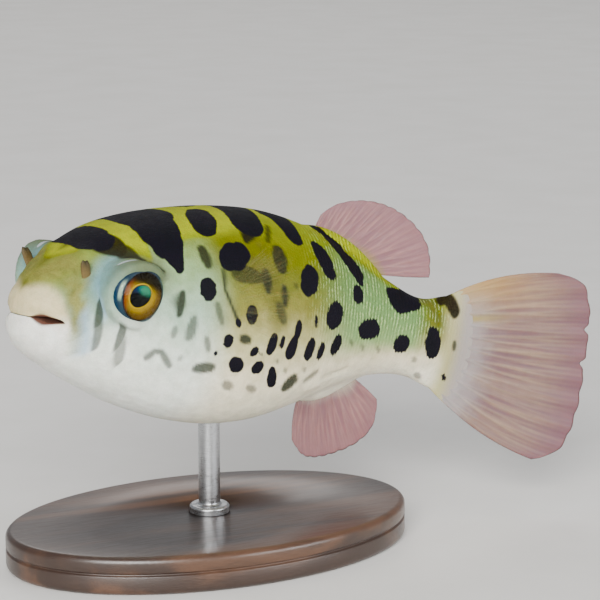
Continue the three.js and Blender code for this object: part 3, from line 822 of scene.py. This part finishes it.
face = ramp(
    tree,
    wandering,
    (0.0, srgb(96, 98, 52)),
    (0.18, srgb(124, 136, 84)),
    (0.32, srgb(140, 160, 126)),
    (0.46, srgb(160, 178, 162)),
    (0.58, srgb(204, 212, 202)),
    (0.7, srgb(230, 234, 226)),
    (0.9, srgb(246, 248, 242)),
)
colour = mix(tree, spread(tree, from_head, 27.0, 38.0), face, flank)
lip_colour = mix(tree, patches, srgb(190, 178, 144), srgb(214, 206, 180))
lip_colour = mix(tree, spread(tree, from_back, 0.42, 0.62), lip_colour, srgb(232, 232, 226))
colour = mix(tree, attribute(tree, "head", 2), colour, lip_colour)
olive_share = maths(tree, "MULTIPLY", attribute(tree, "pigment", 1), spread(tree, patches, 0.25, 0.6, 0.55, 0.95))
olive_colour = mix(tree, grain_mottle, srgb(92, 92, 56), srgb(140, 138, 92))
olive_colour = mix(tree, spread(tree, from_head, 20.0, 30.0), olive_colour, mix(tree, patches, srgb(62, 64, 34), srgb(104, 102, 60)))
colour = mix(tree, olive_share, colour, olive_colour)
blue_share = maths(tree, "MULTIPLY", attribute(tree, "pigment", 2), 0.7)
colour = mix(tree, blue_share, colour, srgb(160, 184, 204))
yellow_share = maths(tree, "MULTIPLY", attribute(tree, "pigment", 0), spread(tree, grain_mottle, 0.2, 0.5, 0.7, 1.0))
colour = mix(tree, yellow_share, colour, srgb(152, 160, 0))
orbit_share = maths(tree, "MULTIPLY", attribute(tree, "head", 0), spread(tree, from_back, 0.32, 0.48, 0.8, 0.15))
orbit_colour = mix(tree, spread(tree, from_head, 13.0, 15.5), srgb(114, 142, 148), srgb(92, 98, 80))
colour = mix(tree, orbit_share, colour, orbit_colour)
waves = maths(tree, "ADD", maths(tree, "MULTIPLY", specks, 5.0), maths(tree, "MULTIPLY", patches, 9.0))
stripes = maths(tree, "SINE", maths(tree, "ADD", maths(tree, "MULTIPLY", from_head, 8.0), waves))
stripes = maths(tree, "MULTIPLY", stripes, spread(tree, noise(tree, where, 800.0, 2.0), 0.35, 0.6, 0.2, 1.0))
rear = spread(tree, from_head, 52.0, 62.0)
colour = mix(tree, 0.42, colour, ramp(tree, grain_mottle, (0.3, srgb(150, 150, 140)), (0.7, srgb(255, 255, 255))), "MULTIPLY")
# Colour of the soft marks, and of the painted shade in the gill slit, in the crease over the eye and under the side
# fin.
soft_mark_and_shade_colour = mix(tree, spread(tree, from_back, 0.1, 0.45), srgb(24, 19, 10), srgb(34, 38, 28))
soft_mark_and_shade_share = maths(tree, "MULTIPLY", attribute(tree, "soft_marks_and_shade"), spread(tree, specks, 0.2, 0.7, 0.96, 1.0))
mint = maths(tree, "MULTIPLY", spread(tree, from_head, 55.0, 68.0), spread(tree, from_head, 82.0, 87.0, 1.0, 0.0))
mint = maths(tree, "MULTIPLY", mint, spread(tree, from_back, 0.08, 0.18))
mint = maths(tree, "MULTIPLY", mint, spread(tree, from_back, 0.5, 0.64, 1.0, 0.0))
colour = mix(tree, maths(tree, "MULTIPLY", mint, 0.8), colour, srgb(110, 138, 100))
combed_area = maths(tree, "MULTIPLY", rear, spread(tree, from_back, 0.35, 0.62, 1.0, 0.1))
dark_lines = maths(tree, "MULTIPLY", spread(tree, stripes, -0.2, 0.8, 0.0, 0.5), combed_area)
colour = mix(tree, dark_lines, colour, srgb(70, 88, 54))
pale_lines = maths(tree, "MULTIPLY", spread(tree, stripes, -0.9, -0.3, 0.4, 0.0), combed_area)
colour = mix(tree, pale_lines, colour, srgb(190, 206, 160))
colour = mix(tree, spread(tree, from_head, 88.5, 93.0), colour, srgb(164, 160, 128))
colour = mix(tree, spread(tree, from_head, 92.0, 96.5), colour, srgb(144, 138, 134))
colour = mix(tree, soft_mark_and_shade_share, colour, soft_mark_and_shade_colour)
ragged = maths(tree, "MULTIPLY", maths(tree, "SUBTRACT", noise(tree, where, 700.0, 4.0), 0.5), 0.65)
combed = maths(tree, "MULTIPLY", maths(tree, "MULTIPLY", stripes, 0.14), rear)
ragged = maths(tree, "ADD", ragged, combed)
black_share = spread(tree, maths(tree, "ADD", attribute(tree, "black"), ragged), -0.16, 0.16)
ink = mix(tree, patches, srgb(17, 13, 22), srgb(8, 11, 12))
colour = mix(tree, black_share, colour, ink)
gape = mix(tree, patches, srgb(116, 90, 82), srgb(70, 50, 44))
colour = mix(tree, attribute(tree, "head", 1), colour, gape)
tree.links.new(richer(tree, colour, 1.3), shader.inputs["Base Color"])
dull = maths(tree, "MAXIMUM", spread(tree, from_back, 0.1, 0.4, 0.22, 0.0), maths(tree, "MULTIPLY", black_share, 0.16))
dull = maths(tree, "MAXIMUM", dull, spread(tree, attribute(tree, "head", 0), 0.0, 0.7, 0.0, 0.22))
dull = maths(tree, "ADD", spread(tree, grain_mottle, 0.25, 0.75, 0.38, 0.54), dull)
tree.links.new(dull, shader.inputs["Roughness"])
ridges = maths(tree, "MULTIPLY", maths(tree, "MULTIPLY", stripes, 0.2), rear)
relief(tree, shader, maths(tree, "ADD", grain_height, ridges), 0.08)
skin_piece.data.materials.append(painted)
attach(skin_piece, "root")
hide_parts("snout", "head", "trunk", "tail")

# ---- Eyes ---------------------------------------------------------------------------------------
# Each eye is a cast ball with a flat painted iris and a raised pupil, under a clear domed cornea. The
# balls are glued in the sockets behind the lids, and the corneas on the balls.

BALL = 5.75  # radius
LIMBUS = 5.45  # radius of the circle where the cornea meets the ball
IRIS = {"radius": 4.2, "height": 3.05}
CORNEA_TOP = 5.5
PUPIL = {"fore": 0.1, "up": 0.05, "radius": 2.16, "longer": 0.22, "point": 0.16, "raised": 0.25}


def pupil_depth(fore, up):
    """How far inside the pupil a point lies. Its edge is an oval with a blunt point fore and down: a radius
    plus a share of cos 2a and a share of cos a, a from the long axis."""
    x, y = fore - PUPIL["fore"], up - PUPIL["up"]
    a = np.arctan2(y, x) + np.radians(14)
    edge = PUPIL["radius"] + PUPIL["longer"] * np.cos(2 * a) + PUPIL["point"] * np.cos(a)
    return edge - np.hypot(x, y)


def in_eye(side, radius, height, turn):
    """Points of an eye from the radius round its axis, the height along it and the turn from the snout's
    direction upwards."""
    middle, look, fore, up = eye_axes(side)
    x, y = radius * np.cos(turn), radius * np.sin(turn)
    return middle + fore * x[..., None] + up * y[..., None] + look * (height + 0 * x)[..., None]


ball_angle = np.radians(np.linspace(180, 71, 40))
ring_share = np.linspace(0, 1, 9)[1:]
iris_share = np.linspace(0, 1, 49)[1:]
profile = np.concatenate([
    np.stack([BALL * np.sin(ball_angle), BALL * np.cos(ball_angle)], -1),
    np.stack([LIMBUS + (IRIS["radius"] - LIMBUS) * ring_share,
              1.87 + (IRIS["height"] - 1.87) * np.sin(ring_share * np.pi / 2)], -1),
    np.stack([IRIS["radius"] * (1 - iris_share), IRIS["height"] - 0.35 * np.sin(iris_share * np.pi / 2)], -1),
])
profile[[0, -1], 0] = 0
eye_turns = np.linspace(0, 2 * np.pi, 97)[None, :-1]
radius = profile[:, :1] + 0 * eye_turns
fore, up = radius * np.cos(eye_turns), radius * np.sin(eye_turns)
is_front = profile[:, 1:] > 1
depth_in_pupil = np.where(is_front, pupil_depth(fore, up), -3)
fibres = 0.05 * np.sin(eye_turns * 46 + 2 * np.sin(eye_turns * 5)) * (radius > 2) * (radius < 4) * is_front
height = profile[:, 1:] + PUPIL["raised"] * smooth(depth_in_pupil, -0.1, 1.4) + 0.12 * smooth(depth_in_pupil, -0.35, 0) + fibres
height = height - 0.1 * smooth(depth_in_pupil, -0.9, -0.1)
eye_values = {
    "eye_place": np.stack([fore, up, profile[:, 1:] + 0 * fore], -1),
    "eye_rings": np.stack([radius, depth_in_pupil, is_front + 0 * radius], -1),
    "eye_polar": np.stack([np.cos(eye_turns) + 0 * radius, np.sin(eye_turns) + 0 * radius, radius], -1),
}
eye_paint, tree, shader = material("painted_eye", Specular_IOR_Level=0.08)
fore_at, up_at = attribute(tree, "eye_place", 0), attribute(tree, "eye_place", 1)
radius_at, pupil_at, front = (attribute(tree, "eye_rings", k) for k in range(3))
polar = node(tree, "Attribute", attribute_name="eye_polar").outputs["Vector"]
streaks = noise(tree, node(tree, "Mapping", {"Vector": polar, "Scale": (9, 9, 0.9)}).outputs[0], 1.0, 4.0)
blotch = noise(tree, polar, 1.2, 2.0)
gold = mix(tree, streaks, srgb(104, 84, 0), srgb(146, 120, 0))
amber = mix(tree, streaks, srgb(48, 34, 0), srgb(88, 64, 0))
iris = mix(tree, spread(tree, maths(tree, "ADD", pupil_at, maths(tree, "MULTIPLY", blotch, 0.9)), -1.1, 0.2), amber, gold)
lit = maths(tree, "ADD", fore_at, maths(tree, "MULTIPLY", up_at, 0.2))
iris = mix(tree, spread(tree, lit, 1.9, 3.6, 0.0, 0.5), iris, srgb(130, 44, 0))
shaded = maths(tree, "SUBTRACT", up_at, maths(tree, "MULTIPLY", fore_at, 0.3))
shaded = maths(tree, "ADD", shaded, maths(tree, "MULTIPLY", maths(tree, "SUBTRACT", streaks, 0.5), 1.6))
iris = mix(tree, spread(tree, shaded, 0.8, 2.8, 0.0, 0.96), iris, srgb(6, 7, 3))
iris = mix(tree, spread(tree, radius_at, 3.8, 4.2, 0.0, 0.85), iris, srgb(14, 8, 2))
iris = mix(tree, spread(tree, pupil_at, -0.27, -0.18), iris, srgb(156, 130, 0))
sheen_at = maths(tree, "SUBTRACT", up_at, maths(tree, "MULTIPLY", fore_at, 0.25))
sheen_at = maths(tree, "ADD", sheen_at, maths(tree, "MULTIPLY", blotch, 0.6))
sheen = mix(tree, spread(tree, fore_at, -0.2, 1.4), srgb(0, 104, 72), srgb(0, 34, 70))
pupil = mix(tree, spread(tree, sheen_at, 0.1, 1.5), srgb(1, 3, 3), sheen)
pupil = mix(tree, spread(tree, pupil_at, 0.0, 0.35), srgb(1, 3, 3), pupil)
iris = mix(tree, spread(tree, pupil_at, -0.06, 0.04), iris, pupil)
facing_snout = spread(tree, fore_at, 1.0, 4.2)
outer_ring = mix(tree, facing_snout, srgb(36, 46, 50), srgb(0, 34, 56))
white = mix(tree, spread(tree, radius_at, 4.7, 5.2), srgb(30, 48, 58), outer_ring)
streak_at = maths(tree, "ABSOLUTE", maths(tree, "SUBTRACT", radius_at, 4.78))
streak = maths(tree, "MULTIPLY", spread(tree, streak_at, 0.12, 0.34, 1.0, 0.0), facing_snout)
streak = maths(tree, "MULTIPLY", streak, spread(tree, maths(tree, "ABSOLUTE", maths(tree, "SUBTRACT", up_at, 0.9)), 0.8, 2.2, 1.0, 0.0))
white = mix(tree, maths(tree, "MULTIPLY", streak, 0.85), white, srgb(136, 160, 138))
white = mix(tree, spread(tree, radius_at, 4.2, 4.5, 1.0, 0.0), white, srgb(10, 16, 20))
# The ring is darker towards its top: painted shade under the upper lid.
white = mix(tree, spread(tree, up_at, 2.4, 4.6, 0.0, 0.7), white, srgb(30, 42, 54))
eye_colour = mix(tree, spread(tree, radius_at, 4.17, 4.24), iris, white)
eye_colour = mix(tree, front, srgb(150, 160, 160), eye_colour)
tree.links.new(eye_colour, shader.inputs["Base Color"])
tree.links.new(spread(tree, streaks, 0.3, 0.7, 0.22, 0.36), shader.inputs["Roughness"])
relief(tree, shader, streaks, 0.04)

dome_angle = np.linspace(0, 1, 33)
dome_radius = (LIMBUS**2 + (CORNEA_TOP - 1.87) ** 2) / (2 * (CORNEA_TOP - 1.87))
dome_span = np.arcsin(LIMBUS / dome_radius)
dome = np.stack([dome_radius * np.sin(dome_span * (1 - dome_angle)),
                 CORNEA_TOP - dome_radius * (1 - np.cos(dome_span * (1 - dome_angle)))], -1)
shell = dome - [0, 0.12]
clear_profile = np.concatenate([shell[::-1], dome])
clear_profile[[0, -1], 0] = 0
clear, tree, shader = material("clear_cornea", Metallic=1.0, Roughness=0.03)
shader.inputs["Base Color"].default_value = (1, 1, 1, 1)
facing = node(tree, "Fresnel", {"IOR": 1.13}).outputs[0]
outside = maths(tree, "SUBTRACT", 1.0, node(tree, "NewGeometry").outputs["Backfacing"])
tree.links.new(maths(tree, "MULTIPLY", facing, outside), shader.inputs["Alpha"])
for side, name in ((1, "left"), (-1, "right")):
    rings = in_eye(side, radius, height, eye_turns)
    ball = closed_mesh(f"eyeball_{name}", rings, eye_values)
    ball.data.materials.append(eye_paint)
    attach(ball, "root")
    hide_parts(f"eye_{name}")
    clear_radius = clear_profile[:, :1] + 0 * eye_turns
    cornea = closed_mesh(f"cornea_{name}", in_eye(side, clear_radius, clear_profile[:, 1:], eye_turns))
    cornea.data.materials.append(clear)
    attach(cornea, "root")

# ---- Nostrils -----------------------------------------------------------------------------------
# A pufferfish's nostril is a short forked flap of skin on each side of the snout. On the model it is
# a soft casting glued on the muzzle in front of the eye.

NOSTRIL = {"along": 8.5, "out": 7.8, "up": 6.6, "length": 0.95, "width": 0.55, "height": 4.0, "fork": 0.5}


def flap_rings(side):
    """A standing flap: ovals that widen and thin with height h, lean back with h², and part at the top,
    where the height of a point falls with the cosine of its turn."""
    back, left, up = axes(NOSTRIL["along"])
    stand = left * side * 0.2 + up - back * 0.5
    stand = stand / np.linalg.norm(stand)
    across = np.cross(stand, back)
    h = np.linspace(0, 1, 25)[:, None]
    a = np.linspace(0, 2 * np.pi, 41)[None, :-1]
    size = np.sqrt(np.clip(1 - (np.maximum(h - 0.72, 0) / 0.28) ** 2, 0, 1)) * (0.75 + 0.35 * np.sin(np.pi * h * 0.8))
    size[0] = 0
    x = NOSTRIL["length"] * size * np.cos(a)
    y = NOSTRIL["width"] * size * np.sin(a) * (1 - 0.25 * h)
    z = NOSTRIL["height"] * (1.5 * h - 0.55) - NOSTRIL["fork"] * smooth(h, 0.5, 1) * np.exp(-((x / 0.3) ** 2))
    foot = place(NOSTRIL["along"], side * NOSTRIL["out"], NOSTRIL["up"])
    lean = 0.35 * h**2
    return foot + back * (x + lean)[..., None] + across * y[..., None] + stand * z[..., None]


flap_skin, tree, shader = material("nostril_skin", Specular_IOR_Level=0.2)
where = node(tree, "TexCoord").outputs["Object"]
flap_height, flap_mottle = skin_grain(tree, where, 0.3)
up_flap = attribute(tree, "up_flap")
colour = ramp(tree, up_flap, (0.0, srgb(104, 102, 60)), (0.5, srgb(108, 90, 54)), (1.0, srgb(48, 44, 24)))
colour = mix(tree, 0.5, colour, ramp(tree, flap_mottle, (0.3, srgb(150, 140, 120)), (0.7, srgb(255, 255, 255))), "MULTIPLY")
tree.links.new(colour, shader.inputs["Base Color"])
tree.links.new(spread(tree, flap_mottle, 0.3, 0.7, 0.34, 0.5), shader.inputs["Roughness"])
relief(tree, shader, flap_height, 0.05)
for side, name in ((1, "left"), (-1, "right")):
    rings = flap_rings(side)
    up_values = np.linspace(0, 1, rings.shape[0])[:, None] + 0 * rings[..., 0]
    flap = closed_mesh(f"nostril_flap_{name}", rings, {"up_flap": up_values})
    flap.data.materials.append(flap_skin)
    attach(flap, "root")
    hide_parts(f"nostril_{name}")

# ---- Fins ---------------------------------------------------------------------------------------
# Each fin is a thin, see-through web of skin over soft rays that branch towards the edge. On the
# model each is one casting of tinted clear resin, with the rays raised on both faces, set into the
# body by its root.

ROOT_DEPTH = 0.8


def ray_ridge(t, r, rays, splits):
    """Height from 0 to 1 of the rays at the share t across a fan: bell curves on each ray's middle line,
    which forks once at the first split and again at the second."""
    x = (t * rays) % 1 - 0.5
    first = 0.25 * smooth(r, splits[0], splits[0] + 0.35)
    second = 0.125 * smooth(r, splits[1], splits[1] + 0.35)
    lines = [a * first + b * second for a in (-1, 1) for b in (-1, 1)]
    width = 0.13 - 0.06 * r
    return np.max([np.exp(-(((x - line) / width) ** 2)) for line in lines], axis=0), np.cos(2 * np.pi * x)


def fan(name, ray, across, rays, fine, rows, web, height, wave, scallop, splits=(0.3, 0.62), notches=()):
    """A fin from its rays. ray(t, r, grown) gives the points, web and height are half thicknesses of the skin
    and of a ray on it, wave(t, r) bends the fin sideways, and scallop is how far the edge falls back
    between the rays. A notch takes 0.035 of the length off as a bell curve round its t. Both faces are made,
    and close at all edges."""
    t = np.linspace(0, 1, rays * fine + 1)[None, :]
    r = np.linspace(0, 1, rows)[:, None]
    ridge, on_ray = ray_ridge(t, r, rays, splits)
    grown = 1 - scallop * (0.5 - 0.5 * on_ray) ** 2
    for at in notches:
        grown = grown * (1 - 0.035 * np.exp(-(((t - at) / 0.018) ** 2)))
    middle = ray(t, r * grown)
    thick = (web + height * ridge * (1 - 0.55 * r)) * (1.25 - 0.5 * r)
    thick = thick * np.sqrt(np.clip(1 - (2 * t - 1) ** 40, 0, 1)) * np.sqrt(np.clip(1 - r**30, 0, 1))
    thick[0] = 0
    out = across(t)
    middle = middle + out * (wave(t, r) * smooth(r, 0.05, 1))[..., None]
    left, right = middle + out * thick[..., None], middle - out * thick[..., None]
    rings = np.concatenate([left, right[:, -2:0:-1]], axis=1)
    values = np.stack([t + 0 * r, r + 0 * t, ridge], -1)
    return closed_mesh(name, rings, {"fan_place": np.concatenate([values, values[:, -2:0:-1]], axis=1)})


def middle_ray(root, start, turn, length):
    """Rays of a fin in the fish's middle plane: root(t) is a distance along the spine and a height."""

    def ray(t, r):
        s, z = root(t)
        back, _, up = axes(s)
        gone_back, gone_up = bent_ray(start(t), turn(t), length(t), r)
        return place(s, 0 * s, z) + back * gone_back[..., None] + up * gone_up[..., None]

    return ray, lambda t: axes(root(t)[0])[1]


back_fin = fan(
    "back_fin",
    *middle_ray(
        lambda t: (61.5 + 12.5 * t, top_at(61.5 + 12.5 * t) - ROOT_DEPTH),
        through([[0, 88], [0.3, 62], [0.65, 34], [1, 2]]),
        through([[0, -20], [0.3, -8], [0.6, 8], [1, 10]]),
        through([[0, 4], [0.12, 7.4], [0.35, 11.6], [0.6, 13.8], [0.8, 14.2], [1, 12]]),
    ),
    rays=13, fine=12, rows=44, web=0.1, height=0.17,
    wave=lambda t, r: 0.35 * np.sin(5 * t + 2.4 * r),
    scallop=0.012,
)
belly_fin = fan(
    "belly_fin",
    *middle_ray(
        lambda t: (74 - 9.5 * t, ROOT_DEPTH - bottom_at(74 - 9.5 * t)),
        through([[0, -24], [0.3, -56], [0.65, -82], [1, -100]]),
        through([[0, -10], [0.6, 10], [1, 22]]),
        through([[0, 8.5], [0.2, 13.5], [0.5, 14.8], [0.8, 13.8], [1, 10]]),
    ),
    rays=11, fine=12, rows=44, web=0.1, height=0.17,
    wave=lambda t, r: 0.4 * np.sin(4 * t + 2.0 * r + 1),
    scallop=0.012,
)
tail_fin = fan(
    "tail_fin",
    *middle_ray(
        lambda t: (BODY_LENGTH - 1 + 0 * t, TAIL_ROOT * (1 - 2 * t)),
        *TAIL_RAYS,
    ),
    rays=11, fine=20, rows=72, web=0.11, height=0.13,
    wave=lambda t, r: 0.24 * np.cos(2 * np.pi * (8 * t + 1.2 * t * t)) * r + 0.5 * np.sin(6 * t + 1.5 * r),
    scallop=0.004,
    splits=(0.12, 0.45),
    notches=(0.33, 0.5),
)


def flank_at(s, z):
    """Half width of the body at a height, from its rounded oval section."""
    middle = widest_at(s)
    share = np.where(z > middle, (z - middle) / (top_at(s) - middle), (middle - z) / (bottom_at(s) + middle))
    return half_at(s) * (1 - np.minimum(share, 1) ** power_at(s)) ** (1 / power_at(s))


side_start = through([[0, 62], [0.5, 14], [1, -26]])
side_turn = through([[0, -14], [1, 8]])
side_length = through([[0, 9.5], [0.2, 12.4], [0.5, 12.2], [0.8, 9.8], [1, 6.5]])


def side_ray(side):
    """Rays of the fin behind a gill: they start on a short slanting line on the flank and stand out."""

    def ray(t, r):
        s, z = 35.0 + 2.4 * t, 8 - 6.5 * t
        back, left, up = axes(s)
        gone_back, gone_up = bent_ray(side_start(t), side_turn(t), side_length(t), r)
        out = side_length(t) * (0.62 * r - 0.22 * r * r)
        root = place(s, side * (flank_at(s, z) - ROOT_DEPTH), z)
        return root + back * 0.88 * gone_back[..., None] + up * gone_up[..., None] + left * side * out[..., None]

    def across(t):
        back, left, _ = axes(35.0 + 2.4 * t)
        out = left - back * 0.5 * side
        return out / np.linalg.norm(out, axis=-1, keepdims=True)

    return ray, across


side_fins = [
    fan(f"side_fin_{name}", *side_ray(side), rays=15, fine=10, rows=40, web=0.09, height=0.13,
        wave=lambda t, r: 0.35 * np.sin(6 * t + 2 * r), scallop=0.03)
    for side, name in ((1, "left"), (-1, "right"))
]


def fin_material(name, web_colour, ray_colour, root_colour, see_through, root_end=0.45, solid_end=0.3, ray_clear=0.8):
    """Tinted clear resin: paler and thicker over the rays and the root, with faint cloudy patches and uneven
    streaks along the rays."""
    made, tree, shader = material(name, Specular_IOR_Level=0.2, Subsurface_Weight=0.2, Subsurface_Scale=0.001)
    where = node(tree, "TexCoord").outputs["Object"]
    height, mottle = skin_grain(tree, where, 0.35)
    in_fan = node(tree, "Attribute", attribute_name="fan_place").outputs["Vector"]
    across, out, ridge = (attribute(tree, "fan_place", k) for k in range(3))
    clouds = noise(tree, where, 220.0, 3.0)
    streaks = noise(tree, node(tree, "Mapping", {"Vector": in_fan, "Scale": (26, 1.3, 0)}).outputs[0], 1.0, 4.0)
    light = maths(tree, "ADD", maths(tree, "MULTIPLY", ridge, 0.45), spread(tree, streaks, 0.36, 0.64, 0.0, 0.55))
    light = maths(tree, "MULTIPLY", light, spread(tree, out, 0.5, 1.0, 1.0, 0.5))
    colour = mix(tree, light, web_colour, ray_colour)
    near_root = maths(tree, "ADD", out, maths(tree, "MULTIPLY", maths(tree, "SUBTRACT", clouds, 0.5), 0.25))
    colour = mix(tree, spread(tree, near_root, root_end * 0.3, root_end, 0.95, 0.0), colour, root_colour)
    grey = ramp(tree, mottle, (0.3, srgb(160, 150, 150)), (0.7, srgb(255, 255, 255)))
    colour = mix(tree, 0.25, colour, grey, "MULTIPLY")
    tree.links.new(colour, shader.inputs["Base Color"])
    solid = spread(tree, light, 0.1, 0.9, 1 - see_through, 1 - see_through * ray_clear)
    solid = maths(tree, "MAXIMUM", solid, spread(tree, out, 0.0, solid_end, 1.0, 0.0))
    tree.links.new(solid, shader.inputs["Alpha"])
    tree.links.new(spread(tree, mottle, 0.3, 0.7, 0.34, 0.5), shader.inputs["Roughness"])
    relief(tree, shader, height, 0.03)
    return made, tree, shader, colour, across, out


pink, *_ = fin_material("pink_fin", srgb(128, 84, 92), srgb(158, 118, 114), srgb(140, 128, 50), 0.3, 0.3)
rose, *_ = fin_material("rose_fin", srgb(128, 84, 90), srgb(156, 116, 110), srgb(186, 178, 158), 0.3, 0.36)
clear_fin, *_ = fin_material("pale_fin", srgb(104, 98, 44), srgb(150, 140, 84), srgb(130, 130, 88), 0.99, 0.3, 0.06, 0.9)
cream, tree, shader, colour, across, out = fin_material(
    "cream_tail", srgb(110, 82, 86), srgb(146, 124, 104), srgb(150, 144, 142), 0.12, 0.42
)
upper_edge = maths(tree, "MULTIPLY", spread(tree, across, 0.0, 0.3, 1.0, 0.0), spread(tree, out, 0.25, 0.8, 1.0, 0.15))
colour = mix(tree, maths(tree, "MULTIPLY", upper_edge, 0.7), colour, srgb(166, 132, 66))
colour = mix(tree, spread(tree, out, 0.72, 1.0, 0.0, 0.6), colour, srgb(106, 72, 84))
streak_across = spread(tree, maths(tree, "ABSOLUTE", maths(tree, "SUBTRACT", across, 0.27)), 0.0, 0.05, 1.0, 0.0)
streak = maths(tree, "MULTIPLY", streak_across, spread(tree, out, 0.1, 0.55, 1.0, 0.0))
colour = mix(tree, maths(tree, "MULTIPLY", streak, 0.75), colour, srgb(146, 128, 40))
tree.links.new(colour, shader.inputs["Base Color"])

finished = [(back_fin, "fin_back", pink), (belly_fin, "fin_belly", rose), (tail_fin, "fin_tail", cream)]
finished += [(fin, f"fin_{name}", clear_fin) for fin, name in zip(side_fins, ("left", "right"))]
for fin, cad_name, finish in finished:
    fin.data.materials.append(finish)
    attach(fin, "root")
    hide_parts(cad_name)

# ---- Floor, lights and camera -------------------------------------------------------------------
# A plain pale studio floor, three large soft lights and a fill from all round.

floor_mesh = bpy.data.meshes.new("floor")
reach = 4.0
floor_mesh.from_pydata([(-reach, -reach, 0), (reach, -reach, 0), (reach, reach, 0), (-reach, reach, 0)], [], [(0, 1, 2, 3)])
floor = bpy.data.objects.new("floor", floor_mesh)
bpy.context.collection.objects.link(floor)
paper, tree, shader = material("studio_paper", Roughness=0.85)
where = node(tree, "TexCoord").outputs["Object"]
tree.links.new(ramp(tree, noise(tree, where, 40.0), (0.3, srgb(222, 220, 216)), (0.7, srgb(228, 226, 223))), shader.inputs[0])
floor.data.materials.append(paper)

world = bpy.data.worlds.new("studio")
bpy.context.scene.world = world
world.use_nodes = True
world.node_tree.nodes["Background"].inputs[0].default_value = (0.93, 0.96, 1.0, 1)
world.node_tree.nodes["Background"].inputs[1].default_value = 0.42


def soft_light(name, spot, aim, size, watts, colour):
    """A square light that stands at spot and faces aim."""
    lamp = bpy.data.lights.new(name, "AREA")
    lamp.size = size
    lamp.energy = watts
    lamp.color = colour
    holder = bpy.data.objects.new(name, lamp)
    bpy.context.collection.objects.link(holder)
    towards = np.array(aim, float) - np.array(spot, float)
    z = -towards / np.linalg.norm(towards)
    x = np.cross([0, 0, 1], z)
    x /= np.linalg.norm(x)
    y = np.cross(z, x)
    turned = np.eye(4)
    turned[:3, 0], turned[:3, 1], turned[:3, 2], turned[:3, 3] = x, y, z, spot
    holder.matrix_world = Matrix(turned.tolist())


centre = (0.01, 0, 0.04)
soft_light("key", (-0.9, -1.3, 0.65), centre, 1.0, 62, (1.0, 0.985, 0.96))
soft_light("fill", (0.9, -1.4, 0.25), centre, 1.0, 26, (0.96, 0.98, 1.0))
soft_light("rim", (0.4, 1.2, 1.1), centre, 0.8, 6, (1.0, 0.97, 0.94))

VIEW = {"azimuth": -27, "elevation": 12, "distance": 450, "right": 16.744, "up": 2.366, "lens": 148.35}
azimuth, elevation = np.radians([VIEW["azimuth"], VIEW["elevation"]])
view_back = np.array([
    np.sin(azimuth) * np.cos(elevation),
    -np.cos(azimuth) * np.cos(elevation),
    np.sin(elevation),
])
view_right = np.cross([0, 0, 1], view_back)
view_right /= np.linalg.norm(view_right)
view_up = np.cross(view_back, view_right)
stand_at = view_back * VIEW["distance"] + view_right * VIEW["right"] + view_up * VIEW["up"] + [0, 0, HOLD_HEIGHT]
turned = np.eye(4)
turned[:3, 0], turned[:3, 1], turned[:3, 2], turned[:3, 3] = view_right, view_up, view_back, stand_at * MM
camera_data = bpy.data.cameras.new("camera")
camera_data.lens = VIEW["lens"]
camera_data.sensor_width = 36
camera_data.clip_start = 0.01
camera = bpy.data.objects.new("camera", camera_data)
bpy.context.collection.objects.link(camera)
camera.matrix_world = Matrix(turned.tolist())
bpy.context.scene.camera = camera
